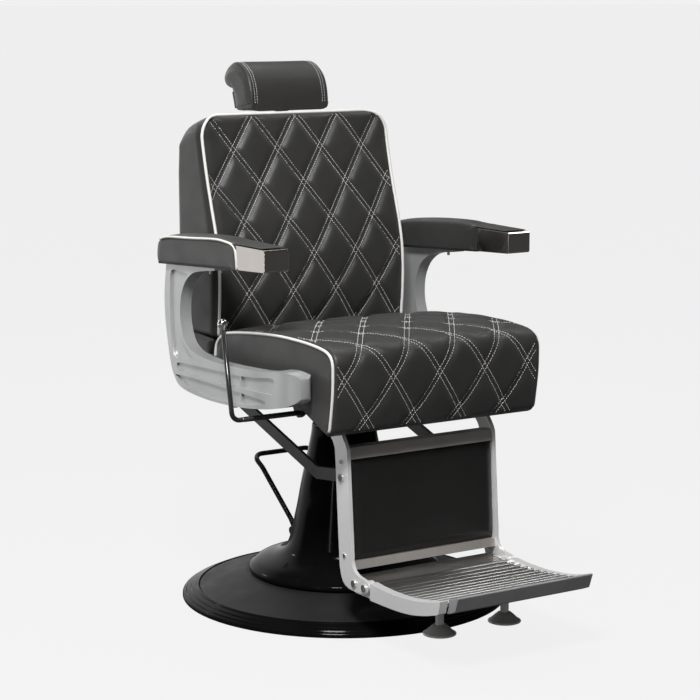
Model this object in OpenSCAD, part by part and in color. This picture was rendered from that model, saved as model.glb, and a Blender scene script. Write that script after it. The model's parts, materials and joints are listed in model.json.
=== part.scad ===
// Hydraulic barber chair.
// Frame: origin on the floor at the column axis, +Z up, the sitter faces -Y,
// +X is the sitter's left. All lengths are in millimetres.

/* [Base and column] */
// Outer radius of the round floor base
base_r = 350; // [340:1:360]
// Inner radius of the stepped rim ring
rim_in_r = 313; // [308:1:316]
// Radius of the bead at the foot of the column shroud
shroud_foot_r = 205; // [195:1:212]
// Height of the top edge of the column shroud
shroud_top = 372; // [366:1:374]
// Radius of the chrome lift ram
ram_r = 28; // [26:1:30]

/* [Seat] */
// Half width of the seat cushion
seat_half_w = 253; // [248:1:254]
// Height of the crown of the seat cushion
seat_top = 606; // [604:1:610]
// Height of the underside of the seat board
board_z = 488; // [487:1:489]

/* [Arms] */
// Outer face of the cast arm frames
arm_out_x = 315; // [312:1:317]
// Thickness of the cast arm frames
arm_thick = 27; // [25:1:29]
// Outer side of the arm pads
pad_out_x = 327; // [324:1:330]
// Inner side of the arm pads
pad_in_x = 270; // [268:1:272]

/* [Back] */
// Half width of the back cushion
back_half_w = 239; // [232:1:241]
// Height of the top of the back cushion
back_top = 1026; // [1024:1:1027]
// Half width of the headrest
head_half_w = 103; // [99:1:106]

/* [Leg rest and footplate] */
// Outer face of the two leg links
link_out_x = 184; // [183:1:185]
// Thickness of the leg links
link_thick = 8; // [7:1:9]
// Number of ribs across the footplate
rib_count = 12; // [9:1:13]
// Distance of each foot from the centre line
foot_x = 80; // [75:1:90]

/* [Hidden] */
$fn = 64;

// Running clearance of a pin in its bore, and the gap between separate bodies
run_gap = 0.05;
body_gap = 0.3;

// Pivots, given as [y, z] in the plane of symmetry
back_pivot = [195, 515];
leg_pivot = [-238, 428];
// Both recline bar pivots sit at the same offset from their main pivot,
// so the bar, the back and the leg rest form a parallelogram
bar_offset = [-35.5, -101];
bar_back = back_pivot + bar_offset;
bar_leg = leg_pivot + bar_offset;
bar_bend = [-155, 313];
fold_pivot = [-357, 118];
stop_bolt = [-320.5, 119];
lever_pivot = [-128, 436];
pedal_pivot = [100, 92];
tilt_pivot = [254, 1058];
post_y = 254;
gas_pin = [229, 426.3];
gas_z = 423;
gas_x = -85;

// Layout across the chair
link_in_x = link_out_x - link_thick;
bar_in_x = 161;
bar_out_x = 169;
back_plate_in_x = 172;
back_plate_out_x = 180;
rail_in_x = 186;
rail_out_x = 196;
pin_r = 7;
bar_pin_r = 5;
fold_pin_r = 5;

plate_top = 8;
cover_in_z = 48;
cover_top = 52;
socket_bottom = 386;
frame_z = 444;
arm_in_x = arm_out_x - arm_thick;

// ---- helpers ----------------------------------------------------------

function unit(v) = v / norm(v);

// Point on a Catmull-Rom curve between p1 and p2
function curve_at(p0, p1, p2, p3, t) =
    0.5 * (2 * p1 + (p2 - p0) * t + (2 * p0 - 5 * p1 + 4 * p2 - p3) * t * t
    + (3 * p1 - p0 - 3 * p2 + p3) * t * t * t);

// Smooth open curve through the points, n steps between two of them
function smooth(p, n = 4) = [
    for (i = [0 : len(p) - 2])
        for (k = [0 : n - 1])
            curve_at(p[max(i - 1, 0)], p[i], p[i + 1], p[min(i + 2, len(p) - 1)], k / n),
    p[len(p) - 1]
];

// Extrude an outline drawn as [y, z] from x0 to x1
module across(x0, x1) {
    translate([x0, 0, 0])
        rotate([90, 0, 90])
            linear_extrude(x1 - x0)
                children();
}

// The children and their mirror image on the other side of the chair
module both_sides() {
    children();
    mirror([1, 0, 0])
        children();
}

// Round bar or hole along X through the point [y, z]
module x_pin(at, x0, x1, r) {
    translate([x0, at[0], at[1]])
        rotate([0, 90, 0])
            cylinder(h = x1 - x0, r = r);
}

// Straight round bar from a to b
module rod(a, b, r) {
    d = b - a;
    translate(a)
        rotate([0, acos(d[2] / norm(d)), atan2(d[1], d[0])])
            cylinder(h = norm(d), r = r);
}

// Points on an arc about c from angle a0 to a1, n steps
function arc(c, r, a0, a1, n = 8) = [
    for (k = [0 : n]) c + r * [cos(a0 + (a1 - a0) * k / n), sin(a0 + (a1 - a0) * k / n)]
];

// Outline of a flat bar of width w along two [y, z] points, with round ends
function strap_points(a, b, w) =
    let (way = atan2(b[1] - a[1], b[0] - a[0]))
        concat(arc(b, w / 2, way + 90, way - 90), arc(a, w / 2, way - 90, way - 270));

// Outline of a flat bar of width w with one bend at b, with round ends
function bent_strap_points(a, b, c, w) =
    let (
        way_in = atan2(b[1] - a[1], b[0] - a[0]),
        way_out = atan2(c[1] - b[1], c[0] - b[0]),
        side = (way_in + way_out) / 2 + 90,
        reach = w / 2 / cos((way_out - way_in) / 2),
        knee = reach * [cos(side), sin(side)]
    )
        concat(
            [b + knee], arc(c, w / 2, way_out + 90, way_out - 90), [b - knee],
            arc(a, w / 2, way_in - 90, way_in - 270)
        );

// Centre line of a bent bar: every inner corner of the path becomes a round bend
function bend_line(p, bend_r, n = 6) = concat(
    [p[0]],
    [for (i = [1 : len(p) - 2])
        let (
            u = unit(p[i] - p[i - 1]),
            v = unit(p[i + 1] - p[i]),
            turn = acos(u * v),
            inward = cross(unit(cross(u, v)), u),
            centre = p[i] - u * bend_r * tan(turn / 2) + inward * bend_r
        )
            for (k = [0 : n])
                centre + bend_r * (u * sin(turn * k / n) - inward * cos(turn * k / n))],
    [p[len(p) - 1]]
);

// Round tube swept along a line that stays nearly in the plane with normal "up"
module swept_bar(line, r, up, sides = 12) {
    last = len(line) - 1;
    rings = [for (i = [0 : last])
        let (
            t = unit(line[min(i + 1, last)] - line[max(i - 1, 0)]),
            b = unit(cross(t, up)),
            n = cross(b, t)
        )
            for (k = [0 : sides - 1])
                line[i] + r * (b * cos(360 * k / sides) - n * sin(360 * k / sides))];
    polyhedron(rings, concat(
        [[for (k = [0 : sides - 1]) k]],
        [for (i = [0 : last - 1])
            for (k = [0 : sides - 1])
                let (next = (k + 1) % sides)
                    [i * sides + k, (i + 1) * sides + k, (i + 1) * sides + next, i * sides + next]],
        [[for (k = [sides - 1 : -1 : 0]) last * sides + k]]
    ));
}

// Round-head screw along X: the head lies outside x0, the shank runs inwards
module side_screw(at, x0, depth, r, head_r) {
    x_pin(at, x0 - depth, x0, r);
    translate([x0, at[0], at[1]])
        rotate([0, 90, 0])
            difference() {
                cylinder(h = head_r * 0.55, r = head_r);
                translate([0, 0, head_r * 0.25])
                    cylinder(h = head_r, r = head_r * 0.5, $fn = 6);
            }
}

// ---- base and hydraulic column ----------------------------------------

gland_r = 44;
cylinder_r = 38;
cylinder_bore_r = 32;
flange_r = 90;
flange_top = 20;
base_bolt_pcd_r = 70;
pump_y = 65;
pump_x_half = 24;
plunger_r = 6;

module base_plate() {
    color("#1a1a1a")
        difference() {
            cylinder(h = plate_top, r = base_r - 4, $fn = 128);
            for (k = [0 : 3])
                rotate(45 + 90 * k)
                    translate([base_bolt_pcd_r, 0, -1])
                        cylinder(h = plate_top + 2, r = 5);
            for (k = [0 : 3])
                rotate(45 + 90 * k)
                    translate([base_bolt_pcd_r, 0, -1])
                        cylinder(h = 6, r = 10.5);
        }
}

module base_rim() {
    color("#151515")
        rotate_extrude($fn = 128)
            polygon([
                [base_r - 3.9, 0], [base_r, 0], [base_r, 6], [base_r - 2, 9],
                [base_r - 7, 10.5], [base_r - 9, 13.5], [base_r - 17, 15.5],
                [base_r - 19, 18], [base_r - 29, 20.5], [base_r - 31, 23],
                [rim_in_r + 2.5, 24], [rim_in_r + 0.5, 23], [rim_in_r + 0.5, plate_top],
                [base_r - 3.9, plate_top]
            ]);
}

module base_cover() {
    color("#202020")
        rotate_extrude($fn = 128)
            polygon(concat(
                [[rim_in_r, plate_top], [rim_in_r, 22]],
                smooth([
                    [rim_in_r - 2, 23], [290, 29], [260, 38], [235, 45.5],
                    [shroud_foot_r + 5, cover_top]
                ], 3),
                [
                    [130, cover_top], [130, cover_in_z], [shroud_foot_r, cover_in_z],
                    [258, 34.5], [rim_in_r - 5, 19], [rim_in_r - 5, plate_top]
                ]
            ));
}

shroud_outer = smooth([
    [69, shroud_top], [71, 352], [78, 316], [86, 278], [94, 239], [101, 199],
    [107, 171], [112, 147], [117, 126], [122, 112], [129, 101], [140, 93],
    [155, 87], [172, 82.5], [188, 77], [198, 70.5]
], 3);

// Slot in the shroud for one arm of the pump pedal
module pedal_slot() {
    across(36, 62)
        polygon([[98, 76], [250, 132], [190, 210], [112, 190]]);
}

module column_shroud() {
    wall = 4;
    bead = smooth([
        [198, 70.5], [shroud_foot_r - 2, 67], [shroud_foot_r + 1, 63], [shroud_foot_r + 1, 58],
        [shroud_foot_r - 1, 55], [shroud_foot_r - 3, 53.5]
    ], 3);
    color("#0d0d0d")
        difference() {
            rotate_extrude($fn = 128)
                polygon(concat(
                    shroud_outer,
                    [for (i = [1 : len(bead) - 1]) bead[i]],
                    [[shroud_foot_r - 5, cover_top], [shroud_foot_r - 15, cover_top]],
                    [for (i = [len(shroud_outer) - 1 : -1 : 0]) shroud_outer[i] - [wall, i == 0 ? 0 : 3]]
                ));
            both_sides()
                pedal_slot();
        }
}

module lift_cylinder() {
    color("#2b2b2e")
        difference() {
            union() {
                translate([0, 0, plate_top])
                    cylinder(h = 352, r = cylinder_r);
                translate([0, 0, plate_top])
                    cylinder(h = flange_top - plate_top, r = flange_r);
            }
            translate([0, 0, 30])
                cylinder(h = 340, r = cylinder_bore_r);
            for (k = [0 : 3])
                rotate(45 + 90 * k)
                    translate([base_bolt_pcd_r, 0, plate_top - 1])
                        cylinder(h = 20, r = 5);
        }
}

module cylinder_gland() {
    color("#8d8f92")
        difference() {
            union() {
                translate([0, 0, 360])
                    cylinder(h = 20, r = gland_r);
                translate([0, 0, 346])
                    cylinder(h = 15, r = cylinder_bore_r);
            }
            translate([0, 0, 340])
                cylinder(h = 50, r = ram_r + run_gap);
        }
}

module base_bolts() {
    color("#909090")
        for (k = [0 : 3])
            rotate(45 + 90 * k)
                translate([base_bolt_pcd_r, 0, 5]) {
                    translate([0, 0, -4])
                        cylinder(h = 4, r = 9, $fn = 6);
                    cylinder(h = 20, r = 5);
                    translate([0, 0, flange_top - 5])
                        difference() {
                            cylinder(h = 7, r = 8.5, $fn = 6);
                            translate([0, 0, -1])
                                cylinder(h = 9, r = 5);
                        }
                }
}

module pump_housing() {
    color("#3a3a3d")
        difference() {
            union() {
                translate([-pump_x_half, cylinder_r + 0.5, flange_top])
                    cube([2 * pump_x_half, 46, 44]);
                both_sides()
                    across(14, pump_x_half) {
                        polygon(strap_points([pedal_pivot[0] - 30, 50], pedal_pivot, 22));
                    }
            }
            translate([0, pump_y, flange_top + 8])
                cylinder(h = 60, r = plunger_r + run_gap);
            x_pin(pedal_pivot, -pump_x_half - 1, pump_x_half + 1, pin_r);
        }
}

module pedal_shaft() {
    color("#b0b2b5")
        x_pin(pedal_pivot, -64, 64, pin_r);
}

// Torsion spring wound on the pedal shaft, as a chain of closed coils
module pedal_spring() {
    coil_pitch = 3.4;
    color("#6d6f73")
        for (k = [0 : 3])
            translate([-13 + 26.6 - 4 - coil_pitch * k, pedal_pivot[0], pedal_pivot[1]])
                rotate([0, 90, 0])
                    rotate_extrude()
                        translate([pin_r + 2.1, 0])
                            circle(1.5);
}

// ---- pump pedal --------------------------------------------------------

hoop_r = 5.5;
hub_in_x = 38;
hub_out_x = 60;
roller_reach = 35;
roller_r = 5;

module pedal_hub() {
    color("#1c1c1c")
        difference() {
            union() {
                both_sides() {
                    x_pin(pedal_pivot, hub_in_x, hub_out_x, 15);
                    across(hub_in_x, hub_out_x)
                        polygon(strap_points(pedal_pivot, pedal_pivot + [22, 26], 18));
                }
                both_sides()
                    across(hub_in_x - 11, hub_in_x + 1)
                        polygon(strap_points(pedal_pivot, pedal_pivot + [-roller_reach, 0], 10));
                both_sides()
                    x_pin(pedal_pivot + [-roller_reach, 0], plunger_r + 1.5, hub_in_x, roller_r);
            }
            x_pin(pedal_pivot, -hub_out_x - 1, hub_out_x + 1, pin_r + run_gap);
            both_sides()
                rod([49, 114, 108.5], [49, 150, 151.8], hoop_r);
        }
}

hoop_half = [[49, 115.2, 110], [49, 140, 139.8], [74, 219, 244], [78, 253, 267]];

// Bent round-bar hoop that the foot presses
module pedal_hoop() {
    mirrored = [for (i = [len(hoop_half) - 1 : -1 : 0])
        [-hoop_half[i][0], hoop_half[i][1], hoop_half[i][2]]];
    color("#121212")
        swept_bar(bend_line(concat(hoop_half, mirrored), 20), hoop_r, [0, -0.77, 0.64]);
}

module pump_plunger() {
    head_z = pedal_pivot[1] + roller_r + 1;
    color("#b8babd") {
        translate([0, pump_y, flange_top + 12])
            cylinder(h = head_z + 10 - flange_top - 12, r = plunger_r);
        translate([0, pump_y, head_z])
            cylinder(h = 10, r = 14);
    }
}

// ---- ram ---------------------------------------------------------------

spindle_r = 22;
spindle_top = 432;

module lift_ram() {
    color("#d9dbde") {
        translate([0, 0, 40])
            cylinder(h = 344, r = ram_r);
        translate([0, 0, 380])
            cylinder(h = spindle_top - 380, r = spindle_r);
    }
}

module piston_seal() {
    color("#1b1b1b")
        difference() {
            translate([0, 0, 48])
                cylinder(h = 18, r = cylinder_bore_r - run_gap);
            translate([0, 0, 40])
                cylinder(h = 40, r = ram_r);
        }
}

module thrust_washer() {
    color("#b5974b")
        difference() {
            translate([0, 0, 384])
                cylinder(h = socket_bottom - 384 - 0.02, r = 36);
            translate([0, 0, 380])
                cylinder(h = 10, r = spindle_r);
        }
}

// ---- seat frame ----------------------------------------------------------

module swivel_socket() {
    color("#232326")
        difference() {
            union() {
                translate([0, 0, socket_bottom])
                    cylinder(h = frame_z - socket_bottom, r = 40);
                translate([0, 0, frame_z - 8])
                    cylinder(h = 8, r = 68);
            }
            translate([0, 0, socket_bottom - 1])
                cylinder(h = spindle_top + 1 - socket_bottom + 1, r = spindle_r + run_gap);
        }
}

module cross_frame() {
    color("#26262a")
        difference() {
            union() {
                translate([-150, -100, frame_z])
                    cube([300, 220, 8]);
                for (y = [-150, -60])
                    translate([-rail_in_x, y, frame_z + 8])
                        cube([2 * rail_in_x, 40, board_z - frame_z - 8]);
                translate([gas_x - 16, -112, gas_z - 16])
                    cube([32, 12, 45]);
            }
            for (y = [-150, -60])
                translate([-rail_in_x - 1, y + 5, frame_z + 13])
                    cube([2 * rail_in_x + 2, 30, board_z - frame_z - 18]);
            rod([gas_x, -113, gas_z], [gas_x, -99, gas_z], 6);
        }
}

module rail_outline() {
    polygon([
        [-252, 438], [-238, 410], [-224, 420], [-205, 444], [-150, 448], [-140, 431],
        [-128, 426], [-116, 431], [-106, 450], [120, 455], [170, 492], [195, 493],
        [217, 515], [195, 537], [176, 528], [140, 505], [121, 479], [112, 479],
        [112, board_z], [-190, board_z], [-195, 479], [-208, 464], [-236, 444]
    ]);
    translate(leg_pivot)
        circle(18);
    translate(back_pivot)
        circle(22);
    translate(lever_pivot)
        circle(10);
}

module side_rail() {
    difference() {
        across(rail_in_x, rail_out_x)
            rail_outline();
        x_pin(leg_pivot, rail_in_x - 1, rail_out_x + 1, pin_r);
        x_pin(back_pivot, rail_in_x - 1, rail_out_x + 1, pin_r);
        x_pin(lever_pivot, rail_in_x - 1, rail_out_x + 1, hoop_r + run_gap);
    }
}

module side_rail_left() {
    color("#26262a")
        side_rail();
}

module side_rail_right() {
    color("#26262a")
        mirror([1, 0, 0])
            side_rail();
}

module pivot_pins() {
    color("#b8babd")
        both_sides() {
            x_pin(leg_pivot, link_in_x - 3, rail_out_x + 3, pin_r);
            x_pin(leg_pivot, link_in_x - 7, link_in_x - 1, pin_r + 5);
            x_pin(back_pivot, back_plate_in_x - 3, rail_out_x + 3, pin_r);
            x_pin(back_pivot, back_plate_in_x - 7, back_plate_in_x - 1, pin_r + 5);
        }
}

module seat_board() {
    color("#9c7b52")
        translate([-238, -195, board_z])
            cube([476, 307, 12]);
}

seat_side = concat(
    smooth([[118, 524], [112, 552], [92, 573], [58, 586], [-46, 599], [-147, seat_top],
        [-244, seat_top], [-310, 601], [-340, 592], [-353, 575], [-355, 550], [-353, 505],
        [-343, 440]], 4),
    smooth([[-340, 434], [-330, 427], [-320, 425.5], [-306, 430], [-284, 438.5], [-252, 451.5],
        [-224, 464]], 2),
    [[-208, 471], [-195, 480], [118, 480]]
);

module seat_cushion() {
    color("#1c1c1c")
        difference() {
            across(-seat_half_w, seat_half_w)
                polygon(seat_side);
            translate([-240, -196, 470])
                cube([480, 310, 500.3 - 470]);
            translate([-205, -330, 400])
                cube([410, 135, 76]);
            // Room at the rear for the side plates of the back when it lies down
            both_sides()
                translate([back_plate_in_x - 4, 113, 479])
                    cube([16, 6, 16]);
        }
}

// ---- arms ----------------------------------------------------------------

// Underside of the arm pad board at a given y
function pad_floor(y) = 716 + (227 - y) * 0.056;

arm_outer_edge = smooth([
    [207, 717], [216, 660], [216, 620], [210, 574], [193, 507], [175, 477], [150, 460],
    [89, 452], [4, 450], [-98, 455], [-185, 465], [-235, 474], [-265, 481], [-281, 490],
    [-288, 502], [-289, 517], [-288, 532], [-281, 544], [-266, 550.5]
], 4);
arm_inner_edge = smooth([
    [-245, 549], [-205, 543.5], [-172, 540], [-97, 536], [-35, 534], [7, 534], [60, 537], [100, 544],
    [130, 561], [145, 592], [149, 620], [146, 648], [136, 672], [118, 693], [90, 709],
    [50, 717], [0, 723]
], 4);

arm_boss = [-240, 515];
nose_in_x = seat_half_w + 3;

module arm_outline() {
    polygon(concat(arm_outer_edge, arm_inner_edge, [[0, pad_floor(0)]]));
}

// Plan view of one arm, drawn as [x, y]: the front end is a rounded nose
module arm_plan() {
    polygon(concat(
        [[nose_in_x - 1, 240], [arm_out_x + 1, 240], [arm_out_x + 1, -237]],
        smooth([
            [arm_out_x, -238], [arm_out_x - 2, -255], [arm_out_x - 9, -270],
            [arm_out_x - 20, -281.5], [nose_in_x + 26, -288], [nose_in_x + 12, -286.5],
            [nose_in_x + 3, -279], [nose_in_x - 1, -266]
        ], 3)
    ));
}

// Front view of the thick nose, drawn as [x, z]: its inner corners are rounded
module nose_front_view() {
    polygon(smooth([
        [arm_in_x + 2, 556], [nose_in_x + 20, 552], [nose_in_x + 10, 547], [nose_in_x + 3, 540],
        [nose_in_x, 529], [nose_in_x, 513], [nose_in_x + 2, 501], [nose_in_x + 8, 491],
        [nose_in_x + 19, 485], [arm_in_x + 2, 480]
    ], 3));
}

// The thickened front end that reaches in to the side of the seat
module arm_nose() {
    nose_rear = -212;
    intersection() {
        across(nose_in_x, arm_in_x + 1)
            intersection() {
                arm_outline();
                translate([-300, 400])
                    square([300 + nose_rear, 200]);
            }
        translate([0, nose_rear + 1, 0])
            rotate([90, 0, 0])
                linear_extrude(100)
                    nose_front_view();
    }
}

// Recesses in the outer face: one on the upright, two ribbed leaves along the foot
module arm_pockets() {
    polygon(smooth([
        [112, 704], [150, 707], [186, 704], [192, 668], [193, 611], [188, 554], [178, 524],
        [160, 518], [122, 522], [98, 528], [118, 541], [140, 560], [154, 590], [158, 620],
        [154, 650], [143, 676], [128, 695], [112, 704]
    ], 3));
    difference() {
        union() {
            polygon(smooth([
                [168, 503], [160, 511], [108, 513.5], [22, 516], [-38, 518], [-93, 519],
                [-167, 526], [-226, 532], [-230, 516], [-224, 501], [-166, 497], [-87, 494.6],
                [-38, 492.7], [23, 492], [91, 490.5], [150, 493], [168, 503]
            ], 3));
            polygon(smooth([
                [174, 484], [143, 485.4], [91, 486.5], [23, 486.5], [-38, 485.7], [-113, 485],
                [-196, 482], [-176, 473], [-113, 463.4], [-59, 458.5], [-4, 456.5], [52, 457.5],
                [109, 462], [144, 469.5], [174, 484]
            ], 3));
        }
        translate([-102, 440])
            square([4, 90]);
    }
}

arm_bolt_at = [arm_boss, [-135, 478], [75, 478]];
pocket_depth = 5;
pad_screw_at = [40, 170];
pad_screw_r = 3;

module arm_frame() {
    difference() {
        intersection() {
            union() {
                across(arm_in_x, arm_out_x)
                    arm_outline();
                arm_nose();
            }
            translate([0, 0, 440])
                linear_extrude(300)
                    arm_plan();
        }
        across(arm_out_x - pocket_depth, arm_out_x + 1)
            arm_pockets();
        for (p = arm_bolt_at)
            x_pin(p, arm_in_x - 40, arm_in_x + 14, 5);
        for (y = pad_screw_at)
            translate([arm_in_x + arm_thick / 2, y, pad_floor(y) - 16])
                cylinder(h = 30, r = pad_screw_r);
    }
}

module arm_frame_left() {
    color("#c3c4c6")
        arm_frame();
}

module arm_frame_right() {
    color("#c3c4c6")
        mirror([1, 0, 0])
            arm_frame();
}

module arm_board_outline() {
    polygon([
        [227, 716], [-100, pad_floor(-100)], [-106, 745.3], [-213, 745.3], [-213, 781.7],
        [-112.5, 781.7], [-105, pad_floor(-105) + 9], [229, 725]
    ]);
}

module arm_boards() {
    color("#2a2522")
        both_sides()
            difference() {
                across(pad_in_x + 4.2, pad_out_x - 4.2)
                    arm_board_outline();
                for (y = pad_screw_at)
                    translate([arm_in_x + arm_thick / 2, y, pad_floor(y) - 1])
                        cylinder(h = 8, r = pad_screw_r);
            }
}

arm_pad_top = smooth([
    [237, 722], [239, 736], [237, 752], [231, 763], [214, 771], [176, 778.5], [104, 785],
    [40, 789.5], [-20, 792.5], [-70, 792.5], [-120, 791], [-180, 790], [-206, 789.5]
], 4);

module arm_pad() {
    board_end = -104;
    difference() {
        across(pad_in_x, pad_out_x)
            polygon(concat(
                [
                    [-207, 787], [-106, 787], [board_end, pad_floor(board_end) + 0.3],
                    [228, 716.3]
                ],
                arm_pad_top
            ));
        // The cover is drawn down round the board
        across(pad_in_x + 3.9, pad_out_x - 3.9)
            polygon([
                [board_end - 5, 700], [board_end - 5, pad_floor(board_end) + 9.3],
                [board_end, pad_floor(board_end) + 9.3], [229.3, 725.3], [229.3, 700]
            ]);
    }
}

module arm_pad_left() {
    color("#1e1e1e")
        arm_pad();
}

module arm_pad_right() {
    color("#1e1e1e")
        mirror([1, 0, 0])
            arm_pad();
}

module arm_caps() {
    color("#cfd0d2")
        both_sides()
            difference() {
                across(pad_in_x, pad_out_x)
                    polygon([
                        [-106.5, 786], [-114.5, 736.5], [-214, 741], [-218, 744], [-218, 783],
                        [-214, 786]
                    ]);
                across(pad_in_x + 4, pad_out_x - 4)
                    polygon([[-100, 782], [-100, 745], [-213.5, 745], [-213.5, 782]]);
            }
}

module arm_brackets() {
    color("#26262a")
        both_sides()
            difference() {
                for (p = [arm_bolt_at[1], arm_bolt_at[2]])
                    translate([rail_out_x, p[0] - 22, 470])
                        cube([arm_in_x - rail_out_x, 44, 9.7]);
                for (p = [arm_bolt_at[1], arm_bolt_at[2]])
                    x_pin(p, rail_out_x - 1, arm_in_x + 1, 4);
            }
}

module arm_bolts() {
    color("#9a9b9e")
        both_sides() {
            x_pin(arm_boss, seat_half_w + 1, arm_in_x + 13, 5);
            for (y = pad_screw_at)
                translate([arm_in_x + arm_thick / 2, y, pad_floor(y) - 15])
                    cylinder(h = 20, r = pad_screw_r);
        }
}

// ---- recline lock and its lever ------------------------------------------

module gas_cylinder() {
    color("#2f2f33")
        difference() {
            union() {
                rod([gas_x, -100, gas_z], [gas_x, 92, gas_z], 13);
                rod([gas_x, -117, gas_z], [gas_x, -100, gas_z], 6);
            }
            rod([gas_x, -80, gas_z], [gas_x, 93, gas_z], 5 + run_gap);
        }
}

module gas_rod() {
    color("#d0d2d5")
        difference() {
            union() {
                rod([gas_x, 0, gas_z], [gas_x, 206, gas_z], 5);
                translate([gas_x - 9, 196, gas_z - 7])
                    cube([12, 12, 14]);
                translate([gas_x - 9, 206, gas_z - 19])
                    cube([5, 38, 40]);
            }
            // The pin slides up and down in this slot as the back turns
            across(gas_x - 10, gas_x - 3)
                translate([gas_pin[0], 0])
                    polygon([[-6.6, gas_z - 10], [6.6, gas_z - 10], [6.6, gas_z + 11], [-6.6, gas_z + 11]]);
        }
}

lever_x = -350;

module lever_rod() {
    bend_end = lever_x + 30;
    color("#7d7a76") {
        swept_bar(
            bend_line([
                [lever_x, -94, 616], [lever_x, lever_pivot[0], lever_pivot[1]],
                [bend_end, lever_pivot[0], lever_pivot[1]]
            ], 16),
            hoop_r - 0.4, [0, 1, 0.19]
        );
        x_pin(lever_pivot, bend_end - 2, gas_x + 6, hoop_r);
        // Finger that presses the release pin of the gas spring
        translate([gas_x - 5, lever_pivot[0] - 4, gas_z - 4])
            cube([10, 8, lever_pivot[1] - gas_z]);
    }
}

module lever_knob() {
    collar = [lever_x, -94, 616];
    // The ball stands in line with the rod
    along = collar - [lever_x, lever_pivot[0], lever_pivot[1]];
    tip = collar + along / norm(along) * 12.2;
    color("#d5d6d8") {
        translate(tip)
            sphere(10.5);
        rod(collar, tip, 5.2);
    }
}

// ---- back -----------------------------------------------------------------

module back_plate_outline() {
    polygon(strap_points(bar_back, back_pivot, 30));
    translate(back_pivot)
        circle(20);
    polygon([[195, 495], [259, 499], [272, 512], [272, 880], [258.3, 880], [258.3, 533], [195, 535]]);
}

module back_frame() {
    tube_at = [180, 470];
    color("#232327")
        difference() {
            union() {
                both_sides()
                    across(back_plate_in_x, back_plate_out_x)
                        back_plate_outline();
                x_pin(tube_at, -back_plate_in_x, back_plate_in_x, 10);
                for (z = [600, 820])
                    translate([-back_plate_in_x, 259, z])
                        cube([2 * back_plate_in_x, 12, 30]);
                across(gas_x + 1, gas_x + 7)
                    polygon(strap_points(tube_at, gas_pin, 22));
                x_pin(gas_pin, gas_x - 14, gas_x + 1, bar_pin_r);
            }
            both_sides() {
                x_pin(back_pivot, back_plate_in_x - 1, back_plate_out_x + 1, pin_r + run_gap);
                x_pin(bar_back, back_plate_in_x - 1, back_plate_out_x + 1, bar_pin_r);
            }
        }
}

module back_board() {
    color("#9c7b52")
        difference() {
            translate([-225, 248.3, 566])
                cube([450, 9.7, 396]);
            translate([-26, 240, 860])
                cube([52, 30, 130]);
        }
}

back_front = smooth([[129, 560], [123, 620], [121, 680], [125, 735], [136, 783], [151, 831],
    [166, 880], [178, 924], [188, 967], [193, 1000], [197, 1018], [208, back_top]], 4);

module back_cushion() {
    corner = 42;
    color("#1c1c1c")
        difference() {
            across(-back_half_w, back_half_w)
                polygon(concat(back_front, [[236, back_top - 2], [248, 1016], [248, 556], [135, 556]]));
            // Rounded upper corners, seen from the front
            both_sides()
                translate([back_half_w - corner, 100, back_top - corner])
                    rotate([-90, 0, 0])
                        linear_extrude(220)
                            difference() {
                                translate([0, -corner - 5])
                                    square([corner + 5, corner + 5]);
                                circle(corner);
                            }
            translate([-24, 240, 860])
                cube([48, 30, 200]);
        }
}

module back_shell() {
    skin = 6;
    skirt_in_x = 204;
    color("#1a1a1a")
        difference() {
            union() {
                across(-back_half_w + 1, back_half_w - 1)
                    polygon([
                        [248.3, 558], [284, 560], [288, 700], [285, 900], [279, 968], [262, 1004],
                        [248.3, 1012]
                    ]);
                // Padded skirts that hide the hinges
                both_sides()
                    across(skirt_in_x, back_half_w - 1)
                        polygon(concat(
                            [[248.2, 555.7], [248.2, 559], [284, 562]],
                            arc([276, 528], 8, 0, -90, 4), arc([162, 530], 10, -90, -180, 4),
                            [[152, 555.7]]
                        ));
            }
            translate([-back_half_w + 1 + skin, 240, 563])
                cube([2 * (back_half_w - 1 - skin), 38, 400]);
            both_sides()
                translate([back_plate_in_x - 3, 240, 540])
                    cube([14, 34, 60]);
            translate([-24, 240, 860])
                cube([48, 33, 170]);
        }
}

module headrest_socket() {
    color("#c9cacc")
        difference() {
            translate([-22, post_y - 10, 866])
                cube([44, 18, 134]);
            translate([-17 - run_gap, post_y - 5 - run_gap, 860])
                cube([34 + 2 * run_gap, 8 + 2 * run_gap, 150]);
        }
}

module bar_pins() {
    color("#b8babd")
        both_sides() {
            x_pin(bar_back, bar_in_x - 1, back_plate_out_x, bar_pin_r);
            x_pin(bar_back, bar_in_x - 5, bar_in_x - 1, 9);
        }
}

// ---- headrest --------------------------------------------------------------

module headrest_post() {
    color("#d5d6d8")
        difference() {
            union() {
                translate([-17, post_y - 5, 872])
                    cube([34, 8, 166]);
                x_pin(tilt_pivot, -12, 12, 9);
                translate([-12, post_y - 5, 1030])
                    cube([24, 8, 28]);
            }
            x_pin(tilt_pivot, -30, 30, 4 + run_gap);
        }
}

module headrest_bracket() {
    color("#bfc0c3") {
        both_sides()
            across(12.5, 17)
                polygon([[242, 1046], [266, 1044], [270, 1074], [240, 1074]]);
        translate([-30, 238, 1074])
            cube([60, 34, 4]);
        x_pin(tilt_pivot, -20, 20, 4);
    }
}

head_front = smooth([
    [213, 1031], [214.5, 1056], [219, 1082], [230, 1102], [246, 1117], [264, 1127],
    [285, 1131], [303, 1127], [319, 1117], [329, 1104], [331, 1094], [324, 1084.5], [310, 1079]
], 4);

module headrest_plate() {
    plate_half = head_half_w - 5;
    screw_x = plate_half - 6;
    color("#303033") {
        across(-plate_half, plate_half)
            polygon([[292.9, 1071], [281.5, 1036.3], [285.4, 1035], [296.8, 1069.7]]);
        for (x = [-screw_x, screw_x]) {
            rod([x, 292, 1065.7], [x, 298.6, 1063.5], 4);
            rod([x, 284.2, 1041.6], [x, 290.8, 1039.4], 4);
        }
    }
}

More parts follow.
